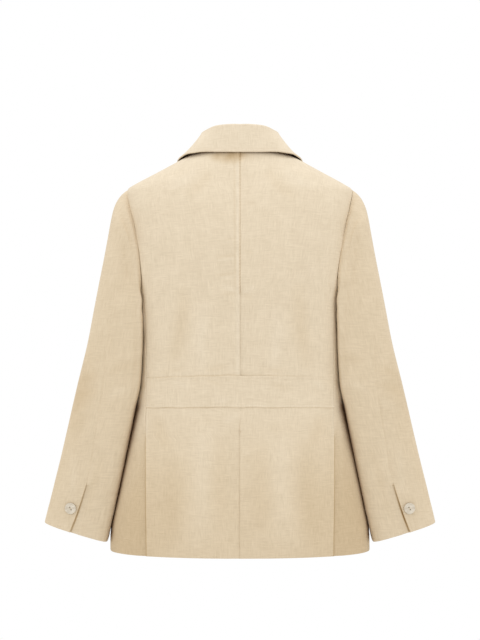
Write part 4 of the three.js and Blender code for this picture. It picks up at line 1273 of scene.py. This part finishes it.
def pocket(side, sign, size):
    inset = POCKET["inset"]
    x0, x1, height = size["start"] + inset, size["end"] - inset, size["top"] - size["bottom"]
    across = x0 + graded(x1 - x0, STEP["pocket"])
    up = size["bottom"] + graded(height, STEP["pocket"])
    x, z = np.meshgrid(across, up)
    lift = POCKET["seam"] + POCKET["cloth"]
    bag = patch(size["name"] + "_" + side, sign, x, z, lift)
    add_cloth(bag)
    across = size["start"] + graded(size["end"] - size["start"], STEP["pocket"])
    share = (across - size["start"]) / (size["end"] - size["start"])
    edge = size["flap_top"] - size["flap"] - POCKET["point"] * (1 - np.abs(2 * share - 1))
    up = shares(size["flap"], STEP["flap"])[:, None]
    z = mix(edge[None], size["flap_top"], up)
    x = across[None] + 0 * z
    lift = lift + POCKET["seam"] + POCKET["flap_ease"] + POCKET["cloth"]
    flap = patch(size["name"] + "_flap_" + side, sign, x, z, lift)
    add_cloth(flap)


# ---- Lapels ----
LAPEL = {
    "notch": 0.62, "tip_x": 121, "tip_z": -80, "belly": 9, "clear": 0.5, "cloth": 1.4,
    "roll": 1.3, "gorge_clear": 2.3, "foot": 3,
}


def lapel(side, sign):
    end_x, end_z = COLLAR["edge_x"][-1], COLLAR["edge_z"][-1]
    notch_x, notch_z = mix(GORGE[0], end_x, LAPEL["notch"]), mix(GORGE[2], end_z, LAPEL["notch"])
    clear = LAPEL["gorge_clear"]
    v = shares(*GRID["lapel_up"])[:, None]
    u = shares(*GRID["lapel"])[None]
    roll = mix(-FRONT_OVERLAP, GORGE[0], v), mix(BREAK_Z, GORGE[2] - clear, v)
    belly = LAPEL["belly"] * np.sin(math.pi * v)
    out_x = mix(LAPEL["foot"] - FRONT_OVERLAP, LAPEL["tip_x"], v) + belly
    out = out_x, mix(BREAK_Z, LAPEL["tip_z"] - clear, v)
    share, past = u / LAPEL["notch"], (u - LAPEL["notch"]) / (1 - LAPEL["notch"])
    top_x = np.where(share < 1, mix(GORGE[0], notch_x, share), mix(notch_x, LAPEL["tip_x"], past))
    top_z = np.where(share < 1, mix(GORGE[2], notch_z, share), mix(notch_z, LAPEL["tip_z"], past)) - clear
    flat = []
    for r, o, top in ((roll[0], out[0], top_x), (roll[1], out[1], top_z)):
        flat.append(mix(r, o, u) + v**3 * (top - mix(r[-1], o[-1], u)))
    x, z = flat
    points = body_across(x, z, True)
    rolled = LAPEL["roll"] * np.minimum(1, u / 0.12) * smooth(v, 0.15, 0.4)
    lift = front_lift(side, x) + LAPEL["clear"] + LAPEL["cloth"] + rolled
    cloth = on_body("lapel_" + side, points, sign, lift=lift)
    cloth.seam(cloth.start, 1.3, 1.6)
    for distance in (cloth.end, cloth.top):
        cloth.seam(distance, 0.4, 0.9)
    cloth.ridge(cloth.end, 5, 0.2, 3)
    cloth.relief += front_relief(x, z, sign)
    sew_down(cloth, cloth.end, EDGE_SEWN)
    sew_down(cloth, cloth.top, EDGE_SEWN, lambda p: np.abs(p[:, 0]) > notch_x)
    add_cloth(cloth)


# ---- Collar ----
ROLL = 2.7  # the roll's radius
STAND_ROWS = 10
ROLL_ROWS = 10
STAND_CLEAR = 1  # the stand's foot over the neck seam
COLLAR_CLOTH = 1.8
# painted light: the collar's colour is a little lighter, as the light from above falls on it
COLLAR_PAINTED_LIGHT = 1.02
# The worn collar's edge lies closer to the back, and level.
COLLAR_WORN = table(
    "around up closer",
    (0, 2.5, 3.4), (20, 2.8, 4), (42, 4.1, 6.2), (54, 3.8, 6), (66, 2.0, 5), (78, 0.2, 3.4), (92, 0, 1.2),
    (104, 0, 0), (126, 0, 0),
)


def collar_points():
    """The collar's middle surface, from its foot up the stand, over the roll and down the fall."""
    half = graded(COLLAR["around"][-1], 1.6, edge=0.5)
    around = np.concatenate([-half[:0:-1], half])
    side, at = np.sign(around), np.abs(around)
    col = lambda name: read(COLLAR, "around", name, at)
    foot_line = neckline(at)
    outward = unit(foot_line * [1, 1, 0])
    up = np.array([0, 0, 1.0])
    rise = col("rise")[:, None]
    top = foot_line + outward * col("out")[:, None] + up * rise
    worn = lambda name: read(COLLAR_WORN, "around", name, at)
    edge = xyz(col("edge_x"), col("edge_y") - worn("closer"), col("edge_z") + worn("up"))
    radius = np.minimum(ROLL, rise / 3)
    foot = foot_line + unit(top - foot_line) * STAND_CLEAR
    arc = lambda turn: top + outward * radius * -np.cos(turn) + up * radius * (np.sin(turn) - 1)
    bow = unit(-outward * [1, 1, 0] - up) * col("bow")[:, None]
    fall_top = arc(math.pi)
    rows = [mix(foot, arc(0.0), s) for s in np.linspace(0, 1, STAND_ROWS + 1)[:-1]]
    rows += [arc(turn) for turn in np.linspace(0, math.pi, ROLL_ROWS + 1)[:-1]]
    for t in shares(*GRID["collar_fall"]):
        rows.append(mix(fall_top, edge, t) + bow * 4 * t * (1 - t))
    return np.array(rows) * xyz(np.where(side == 0, 1, side), 1, 1)


def collar():
    points = collar_points()
    normals = grid_normals(points)
    normals *= np.sign((normals[-5, points.shape[1] // 2] * [0, 1, 1]).sum())
    lift = COLLAR_CLOTH / 2 + 0 * points[..., 0]
    cloth = Cloth("collar", points, normals, thick=COLLAR_CLOTH, lift=lift)
    cloth.seam(cloth.top, *COLLAR_EDGE)
    cloth.ridge(cloth.top, 1.8, 0.2, 1.2)
    cloth.seam(cloth.top - EDGE_SEWN, 0.15, 1.0)
    sew_down(cloth, cloth.top, EDGE_SEWN)
    for distance in (cloth.start, cloth.end):
        cloth.seam(distance, *COLLAR_EDGE)
    cloth.seam(cloth.bottom, 0.4, 1.0)
    cloth.tone *= COLLAR_PAINTED_LIGHT
    fall = smooth(cloth.top, 46, 30)
    wave = np.sin(cloth.x / 17 + 0.6) * np.sin(cloth.x / 41 + 1.1)
    fine = np.sin(cloth.x / 9.5 + cloth.z / 6 + 1.0) * np.sin(cloth.x / 23)
    cloth.relief += fall * (0.35 * wave + 0.25 * fine)
    add_cloth(cloth)


# ---- Sleeves ----
ARMHOLE_PLACE, CUFF = -1, 6  # places along the sleeve, where 0 is its first ring
SLEEVE_CLEAR = 2
# The sleeve's head from the armhole to the first ring: how it leaves, swells at the crown and arrives.
CAP = {
    "low_off": 0.6, "off_from": 0.55, "off_full": 0.9, "low_out": 0.55, "backward": 0.55,
    "top_drop": 0.55, "low_drop": 1.1, "pull": 75, "low_pull": 26, "wide_pull": 130, "ring_pull": 0.9,
    "half": 0.35, "crown_from": -0.3, "crown_full": 0.75, "bent": 0.25, "near": 0.3,
}
INNER_LESS = table("place less", (0, 4.2), (0.5, 2.6), (1, 1.2), (1.7, 0), (2.2, 2.4), (3, 0.6), (4, 0))
BACK_INNER_SQUARER = 2.0  # the worn sleeve's back is flatter next to the body
SLEEVE_PAINTED_SHADE = 0.94  # painted shade: the sleeves' colour is darker, as nothing behind the single cloth throws light back through it
GRAIN_RADIUS = 50
BACK_SEAM_TURN = 84
FRONT_SEAM_TURN = -110.4
VENT_PLACE = 4.25
VENT_SHADE = {"left": 0.48, "right": 0.72}  # how dark the painted shadow along the vent's edge is
ELBOW_Z, ELBOW_REACH = -430, 70
OUTER_SHADE = {"left": 0.09, "right": 0.05}  # at the elbow the sleeve's outer edge turns from the light
SEAM_DRIFT = table("place drift", (-1, 0), (0, -6), (0.9, -9), (2, -1.5), (3.2, 6), (4.25, 8.6), (6, -7))
CUFF_BUTTON = {"place": 5.01, "turn_from_vent": 20, "clear": 0.4}
DEGREES_PER_MM = 1 / 0.72


def ring_point(ring, turn):
    """Points of a leaning ring: turn is 0 on its outside and 90 at its back."""
    s, c = sin_cos(turn)
    reach = np.where(c > 0, ring["wide"], ring["inner"])
    square = ring["square"] + np.where((c < 0) & (s > 0), BACK_INNER_SQUARER, 0)
    r = (np.abs(c / reach) ** square + np.abs(s / ring["deep"]) ** square) ** (-1 / square)
    up, out = sin_cos(ring["lean"])
    return xyz(ring["x"] + r * c * out, ring["y"] + r * s, ring["z"] + r * c * up)


def ring_at(place, turn):
    ring = {k: read(SLEEVE, "i", k, place) for k in CROWN}
    ring["inner"] = ring["inner"] - read(INNER_LESS, "place", "less", place)
    return ring_point(ring, turn)


def keep_clear(p, clear):
    """Points moved out where they lie less than clear outside the body's form."""
    foot = settle(p, 8)
    normal = body_normal(foot)
    distance = ((p - foot) * normal).sum(-1)
    far = (outside(p) > 0.6) | (distance >= clear)
    return np.where(far[..., None], p, foot + normal * np.asarray(clear)[..., None])


def sleeve_at(place, turn):
    """The sleeve's outer face: place is -1 at the armhole, 0 at the first ring and 6 at the cuff."""
    place, turn = np.broadcast_arrays(np.asarray(place, float), np.asarray(turn, float))
    arm = keep_clear(ring_at(np.maximum(place, 0), turn), SLEEVE_CLEAR + 0 * place)
    s, c = sin_cos(turn)
    low = (1 - c) / 2
    start = armhole(turn % 360)
    off = CAP["low_off"] * smooth(low, CAP["off_from"], CAP["off_full"])
    start = start + body_normal(start) * off[..., None]
    end = ring_at(0, turn)
    reach = np.linalg.norm(start - end, axis=-1)
    drop = mix(CAP["top_drop"], CAP["low_drop"], low)
    leave = unit(xyz(1 - CAP["low_out"] * low, CAP["backward"] * s, -drop))
    arrive = unit(ring_at(0.05, turn) - end) * (reach * CAP["ring_pull"])[..., None]
    full = leave * mix(CAP["wide_pull"], CAP["low_pull"], low)[..., None]
    sweep = lambda t: hermite(np.asarray(t)[..., None], start, end, full, arrive)
    t, half = np.clip(place + 1, 0, 1), CAP["half"]
    rest = 1 - half
    share = smooth(c, CAP["crown_from"], CAP["crown_full"])[..., None]
    crown = mix(sweep(half), ring_point(CROWN, turn), share)
    along = mix((sweep(half + 0.01) - sweep(half - 0.01)) * 50, (end - crown) / rest, share)
    first = hermite((t / half)[..., None], start, crown, leave * CAP["pull"], along * half)
    second = hermite(((t - half) / rest)[..., None], crown, end, along * rest, arrive * rest)
    bent = np.where((t < half)[..., None], first, second)
    cap = mix(sweep(t), bent, smooth(share, 0, CAP["bent"]))
    cap = keep_clear(cap, np.minimum(SLEEVE_CLEAR, reach * t * CAP["near"]))
    return np.where((place >= 0)[..., None], arm, cap)


def sleeve_normal(place, turn, h=0.01):
    ahead, behind = np.minimum(place + h, CUFF), np.maximum(place - h, ARMHOLE_PLACE)
    along = sleeve_at(ahead, turn) - sleeve_at(behind, turn)
    return unit(np.cross(along, sleeve_at(place, turn + 1) - sleeve_at(place, turn - 1)))


def seam_drift(place):
    return read(SEAM_DRIFT, "place", "drift", place)


CUFF_DEEP = 30
CUFF_SEWN = 31
SLEEVE_CREASES = table(
    # round the sleeve in degrees from its outside backwards, and up in millimetres
    CREASE_COLUMNS,
    (78, -386, 22, -402, 4, 7, -0.45),
    (80, -412, 16, -432, 4, 8, -0.5),
    (76, -440, 30, -470, 5, 8, 0.4),
    (92, -380, 150, -366, -4, 7, -0.45),
    (94, -424, 148, -410, -4, 7, 0.4),
    (60, -520, 74, -610, 3, 9, 0.4),
    (20, -500, 10, -640, -4, 12, -0.5),
    (120, -520, 116, -640, 3, 10, -0.4),
    # the inside of the elbow and the front, which the photo hides
    (-100, -372, -42, -396, -5, 7, -0.9),
    (-104, -398, -36, -414, -4, 7, -1.0),
    (-98, -424, -44, -430, 4, 8, 0.8),
    (-106, -440, -60, -458, -4, 8, -0.7),
    (-40, -330, -20, -480, 6, 13, 0.7),
    (-80, -500, -70, -650, 5, 12, -0.7),
    (-20, -150, -60, -220, -6, 11, -0.5),
    (210, -330, 236, -420, 6, 10, -0.7),
)


# Just below the armhole the worn sleeve's inner side lies a little closer to the body.
SLEEVE_FILL = {"by": 2.6, "z": -260, "reach": 13}


def next_to_body(p, turn):
    """The sleeve's points, filled out towards the body on its inner side behind."""
    s, c = sin_cos(turn)
    inner = smooth(c, 0.1, -0.4) * smooth(s, 0.05, 0.4)
    by = SLEEVE_FILL["by"] * hump(p[..., 2] - SLEEVE_FILL["z"], SLEEVE_FILL["reach"])
    return p - xyz(by * inner, 0, 0)


def sleeve_grain(p):
    """The threads run along the arm and round it, straight through the sleeve's head."""
    middle = [np.interp(-p[..., 2], -SLEEVE["z"], SLEEVE[k]) for k in ("x", "y")]
    above = np.maximum(p[..., 2] - SLEEVE["z"][0], 0)
    round_arm = np.arctan2(p[..., 1] - middle[1], p[..., 0] - middle[0] + 0.16 * above)
    return GRAIN_RADIUS * round_arm, p[..., 2]


VENT_FADE = {"least": 0.45, "middle": 42, "reach": 28}


def vent_fades(above_cuff):
    """How much of the vent's painted shadow line shows: all in its middle, less near the cuff and its upper
    end.
    """
    return mix(VENT_FADE["least"], 1, hump(above_cuff - VENT_FADE["middle"], VENT_FADE["reach"]))


def vent_under(cloth, over, free, drawn, shade):
    """The under sleeve's back seam, and the vent's under layer, which starts where over is 0, with a
    painted shadow along it.
    """
    cloth.relief -= TUCK["depth"] * passed_under(over) * free
    cloth.mark(over, 0.2, 0.9, -shade, free)
    cloth.seam(cloth.start, *SLEEVE_SEAM, (1 - free) * drawn)
    cloth.seam(cloth.end)


def vent_over(cloth, free, drawn, shade):
    """The upper sleeve's seams, and the vent's free edge on top, with a painted shadow along it."""
    cloth.seam(cloth.start)
    cloth.seam(cloth.end, *SLEEVE_SEAM, (1 - free) * drawn)
    cloth.ridge(cloth.end, 4, 0.25, 2.5, (1 - free) * drawn)
    cloth.ridge(cloth.end, 1, 0.6, 3, free)
    cloth.mark(cloth.end, 0, 0.8, -shade, free)


def sleeve_head(cloth):
    """The armhole's seam, and the low roll of the sleeve's head beside it, with a painted highlight on the
    roll and painted shade along the seam below the blades.
    """
    cloth.seam(cloth.bottom, 0.7, 1.2, armhole_depth(cloth.z))
    cloth.ridge(cloth.bottom, 8, 1.1, 5, between(cloth.z, -85, -105, -150, -185))
    roll = between(cloth.z, -105, -125, -165, -195)
    cloth.ridge(cloth.bottom, 5, 0.4, 3, roll)
    cloth.mark(cloth.bottom, 6, 3, 0.05, roll)
    cloth.mark(cloth.bottom, 0, 0.9, -0.25, between(cloth.z, -150, -200, -235, -258))


def sleeve_cloth(name, side, sign, turns, drifts, tucked=False):
    outside_line, back_line = (lambda place, turn=turn: sleeve_at(place, turn) for turn in (0, 90))
    places = spread_rows(outside_line, back_line, CUFF, STEP["sleeve"], first=ARMHOLE_PLACE)[:, None]
    turn = turns[None] + drifts[None] * seam_drift(places)
    reach = 0 * places
    if tucked:
        reach = TUCK["under"] * smooth(places, VENT_PLACE + 0.02, VENT_PLACE + 0.16)
        turn = turn - reach * DEGREES_PER_MM * (1 - (turns - turns[0]) / (turns[-1] - turns[0]))[None]
    points = next_to_body(fuller(sleeve_at(places, turn), sign), turn)
    cloth = Cloth(name + "_" + side, mirrored(points, sign), mirrored(sleeve_normal(places, turn), sign))
    free = smooth(places, VENT_PLACE - 0.02, VENT_PLACE + 0.1) + 0 * turn
    drawn = mix(0.15, 1, smooth(places, -0.6, 1.2))
    shade = VENT_SHADE[side] * vent_fades(cloth.top)
    if tucked:
        vent_under(cloth, cloth.start - reach, free, drawn, shade)
    else:
        vent_over(cloth, free, drawn, shade)
    sleeve_head(cloth)
    cloth.seam(cloth.top, *TURNED_EDGE)
    allowance(cloth, cloth.top, CUFF_DEEP)
    around, down = turn * 0.8, cloth.bottom
    wave = 0.5 * np.sin(around / 19 + down / 61 + sign) * np.sin(down / 43 + 1.1 - sign)
    cloth.relief += wave * smooth(cloth.bottom, 0, 40) * smooth(cloth.top, 0, 60)
    cloth.crease(SLEEVE_CREASES, turn + 4 * sign, cloth.z + 6 * sign)
    cloth.grain = sleeve_grain(points)
    outermost = smooth(sin_cos(turn)[1], 0.2, 0.9)
    cloth.tone *= SLEEVE_PAINTED_SHADE
    cloth.tone *= 1 - OUTER_SHADE[side] * hump(cloth.z - ELBOW_Z, ELBOW_REACH) * outermost
    cloth.hollow *= beside_gap(cloth.z) * mix(1, 0.4, smooth(cloth.z, -600, -640))
    sew_down(cloth, cloth.top, CUFF_SEWN)
    add_cloth(cloth)


def sleeves(side, sign):
    span = BACK_SEAM_TURN - FRONT_SEAM_TURN
    upper = mix(FRONT_SEAM_TURN, BACK_SEAM_TURN, shares(*GRID["upper_sleeve"]))
    sleeve_cloth("upper_sleeve", side, sign, upper, (upper - FRONT_SEAM_TURN) / span)
    last = FRONT_SEAM_TURN + 360
    under = mix(BACK_SEAM_TURN, last, shares(*GRID["under_sleeve"]))
    sleeve_cloth("under_sleeve", side, sign, under, (last - under) / (last - BACK_SEAM_TURN), tucked=True)


# ---- Buttons ----
BUTTON = table(
    "radius height",
    (0, 0), (8.2, 0), (9.3, 0.4), (9.9, 1.2), (10, 1.8), (9.8, 2.6), (9.3, 3.1), (8.6, 3.2),
    (7.7, 3.05), (6.9, 2.6), (6.2, 2.3), (5.4, 2.2), (0, 2.2),
)
BUTTON_SIDES = 56
BUTTON_SHARP = 35  # degrees
HOLE = {"radius": 1.15, "from_middle": 2.3, "turn": 120, "sides": 20}
FRONT_BUTTONS = table("z clear", (-303, 0.1), (-397, 0.9), (-491, 0.5))


def turned(profile, sides):
    """A closed mesh turned round the Z axis from a table of radii and heights."""
    radii, heights = profile["radius"], profile["height"]
    angle = np.arange(sides) * 2 * math.pi / sides
    points, rings = [], []
    for r, h in zip(radii, heights):
        if r == 0:
            rings.append([len(points)] * sides)
            points.append((0, 0, h))
        else:
            rings.append(list(range(len(points), len(points) + sides)))
            points += [(r * math.cos(a), r * math.sin(a), h) for a in angle]
    faces = []
    for low, high in zip(rings, rings[1:]):
        for i in range(sides):
            j = (i + 1) % sides
            corners = [low[i], low[j], high[j], high[i]]
            faces.append([c for k, c in enumerate(corners) if c != corners[k - 1]])
    return np.array(points, float), faces


def button_mesh():
    points, faces = turned(BUTTON, BUTTON_SIDES)
    disc = mesh_object("button_disc", points, faces, BUTTON_SHELL, BUTTON_SHARP)
    pin = table("radius height", (0, -1), (HOLE["radius"], -1), (HOLE["radius"], 5), (0, 5))
    s, c = sin_cos(HOLE["turn"])
    cutters = []
    for k in (1, -1):
        points, faces = turned(pin, HOLE["sides"])
        points += [k * HOLE["from_middle"] * c, k * HOLE["from_middle"] * s, 0]
        cutters.append(mesh_object("pin", points, faces, BUTTON_SHELL))
        cut = disc.modifiers.new("hole", "BOOLEAN")
        cut.operation, cut.object, cut.solver = "DIFFERENCE", cutters[-1], "EXACT"
    depsgraph = bpy.context.evaluated_depsgraph_get()
    mesh = bpy.data.meshes.new_from_object(disc.evaluated_get(depsgraph))
    for obj in (disc, *cutters):
        bpy.data.objects.remove(obj)
    mesh.set_sharp_from_angle(angle=math.radians(BUTTON_SHARP))
    return mesh


def frame_of(normal):
    """Axes of a button on the cloth: the second one as near upright as the cloth allows."""
    normal = unit(normal)
    across = unit(np.cross([0, 0, 1.0], normal))
    return np.stack([across, np.cross(normal, across), normal], axis=-1)


def button(name, place, normal, mesh):
    obj = linked(name + "_shell", mesh)
    axes = frame_of(normal)
    matrix = np.eye(4)
    matrix[:3, :3] = axes
    matrix[:3, 3] = place * MM
    obj.matrix_world = Matrix(matrix.tolist())
    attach(obj, "root")
    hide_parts(name)
    return axes


BUTTON_THREAD = {"long": 4.7, "pitch": ALONE, "thick": 0.26}
THREAD_APART = 0.36
BUTTONHOLE = {"out": 4, "in": 19, "bar": 2.1, "apart": 0.55, "lift": 0.25, "bare": 0.15, "thick": 0.3}
# the strip of painted shadow in each buttonhole's slit
SLIT = {"thick": 0.3, "lift": 0.2}
TACKS = table("z long lift", (BACK_PLEAT_Z, 4, 0.6), (SKIRT_PLEAT_Z, 3.4, 0.35))
TACK = {"rows": 4, "apart": 0.8, "thick": 0.26}


def button_thread(name, place, axes):
    """Two strands from hole to hole, across the hollow of the button's face."""
    s, c = sin_cos(HOLE["turn"])
    way = axes[:, 0] * c + axes[:, 1] * s
    aside = np.cross(axes[:, 2], way)
    level = place + axes[:, 2] * (BUTTON["height"][-1] + 0.2)
    ends = np.linspace(-1, 1, 5)[:, None] * way * BUTTON_THREAD["long"] / 2
    lines = [(level + ends + aside * k * THREAD_APART, axes[:, 2] + 0 * ends, 0) for k in (-1, 1)]
    stitches(name + "_thread", lines, THREAD, BUTTON_THREAD)


def buttonhole(name, z):
    """A level slit in the right front, its edges sewn over with upright stitches."""
    start, end = BUTTONHOLE["out"], -BUTTONHOLE["in"]
    lines = []
    for x in np.arange(end, start, BUTTONHOLE["apart"]):
        for way in (-1, 1):
            middle = z + way * (BUTTONHOLE["bar"] / 2 + BUTTONHOLE["bare"])
            heights = middle + np.linspace(-0.5, 0.5, 5) * BUTTONHOLE["bar"]
            places = body_across(x + 0 * heights, heights, True)
            normals = body_normal(places)
            lines.append((places + normals * BUTTONHOLE["lift"], normals, 0))
    edge_size = {"long": BUTTONHOLE["bar"], "pitch": ALONE, "thick": BUTTONHOLE["thick"]}
    stitches(name + "_edge", lines, THREAD, edge_size)
    # a dark strip along the slit: painted shadow inside it
    slit = across_cloth((start + end) / 2, z, True, start - end, SLIT["lift"])
    stitches(name + "_slit", [slit], SLIT_SHADOW, {"long": start - end, "pitch": ALONE, "thick": SLIT["thick"]})


def tacks():
    """Short bars of thread over the tops of the two pleats behind."""
    for i, (z, long, lift) in enumerate(zip(TACKS["z"], TACKS["long"], TACKS["lift"])):
        heights = z + (np.arange(TACK["rows"]) - TACK["rows"] / 2) * TACK["apart"]
        lines = [across_cloth(0.3 * math.sin(4 * h), h, False, long, lift) for h in heights]
        stitches(f"tack_{i + 1}", lines, THREAD, {"long": long, "pitch": ALONE, "thick": TACK["thick"]})


def sewn_button(name, place, normal, clear, mesh):
    """A button with its thread, a little clear of the cloth."""
    place = place + normal * clear
    button_thread(name, place, button(name, place, normal, mesh))


# ---- Scene ----
WORLD = {"colour": (1.0, 0.99, 0.98, 1), "strength": 1.065}
LIGHTS = (
    # name, place and aim in metres, size, power, colour
    ("top", (0.0, 0.2, 3.4), (0, 0, 0), 2.0, 38, (0.86, 0.94, 1.08)),
    ("left", (4.4, 1.4, 0.4), (0, 0, -0.3), 1.6, 7, (1.0, 0.985, 0.96)),
    ("right", (-4.4, 1.4, 0.4), (0, 0, -0.3), 1.6, 7, (1.0, 0.985, 0.96)),
)
DOME = {"radius": 9000, "rings": 25, "sides": 48}
FLOOR = table("radius height", (0, -1062), (880, -1062), (900, -1056), (880, -1050), (0, -1050))
FLOOR_SIDES = 96
CAMERA = {"lens": 95.88, "sensor": 36, "place": (0, 3.0, -0.2957), "clip": 100}


def buttons():
    mesh = button_mesh()
    for i, (z, clear) in enumerate(zip(FRONT_BUTTONS["z"], FRONT_BUTTONS["clear"])):
        place = body_across(np.array(0.0), z, True)
        sewn_button(f"front_button_{i + 1}", place, body_normal(place), clear, mesh)
        buttonhole(f"buttonhole_{i + 1}", z)
    at = CUFF_BUTTON["place"]
    turn = BACK_SEAM_TURN + float(seam_drift(at)) - CUFF_BUTTON["turn_from_vent"]
    for side, sign in SIDES:
        place = mirrored(sleeve_at(at, turn), sign)
        normal = mirrored(sleeve_normal(at, turn), sign)
        sewn_button("cuff_button_" + side, place, normal, CUFF_BUTTON["clear"], mesh)


def area_light(name, place, aim, size, power, colour):
    light = bpy.data.lights.new(name, "AREA")
    light.shape, light.size, light.energy, light.color = "DISK", size, power, colour
    obj = linked(name, light)
    obj.location = place
    way = unit(np.array(aim, float) - place)
    side = unit(np.cross(way, [0, 0, 1.0]))
    up = np.cross(side, way)
    obj.rotation_mode = "QUATERNION"
    axes = np.stack([side, up, -way], axis=-1)
    obj.rotation_quaternion = Matrix(axes.tolist()).to_quaternion()
    obj.visible_camera = False


def studio():
    scene = bpy.context.scene
    scene.view_settings.view_transform = "Standard"
    world = bpy.data.worlds.new("studio")
    scene.world = world
    world.use_nodes = True
    background = world.node_tree.nodes["Background"]
    background.inputs["Color"].default_value = WORLD["colour"]
    background.inputs["Strength"].default_value = WORLD["strength"]
    for light in LIGHTS:
        area_light(*light)


def plain_stage():
    n = Nodes("white_backdrop")
    white = n.finish(n.add("Emission", Color=(1, 1, 1, 1), Strength=1.0))
    turns = np.linspace(0, math.pi, DOME["rings"])
    profile = {"radius": DOME["radius"] * np.sin(turns), "height": -DOME["radius"] * np.cos(turns)}
    profile["radius"][[0, -1]] = 0
    points, faces = turned(profile, DOME["sides"])
    dome = mesh_object("backdrop", points, faces, white)
    for flag in ("diffuse", "glossy", "transmission", "volume_scatter", "shadow"):
        setattr(dome, "visible_" + flag, False)
    n = Nodes("pale_floor")
    pale = n.surface(n.ramp(n.noise(n.place(), 3.0), (0.82, 0.82, 0.81), (0.86, 0.86, 0.85)), 0.8)
    points, faces = turned(FLOOR, FLOOR_SIDES)
    floor = mesh_object("floor", points, faces, pale)


def camera():
    data = bpy.data.cameras.new("camera")
    data.lens, data.sensor_width = CAMERA["lens"], CAMERA["sensor"]
    data.clip_end = CAMERA["clip"]
    obj = linked("camera", data)
    obj.location = CAMERA["place"]
    obj.rotation_euler = (math.radians(90), 0, math.radians(180))
    bpy.context.scene.camera = obj


camera()
studio()
plain_stage()
collar()
for side, sign in SIDES:
    back(side, sign)
    skirt(side, sign)
    side_panel(side, sign)
    front(side, sign)
    lapel(side, sign)
    sleeves(side, sign)
    for size in POCKETS:
        pocket(side, sign, size)
band()
buttons()
tacks()
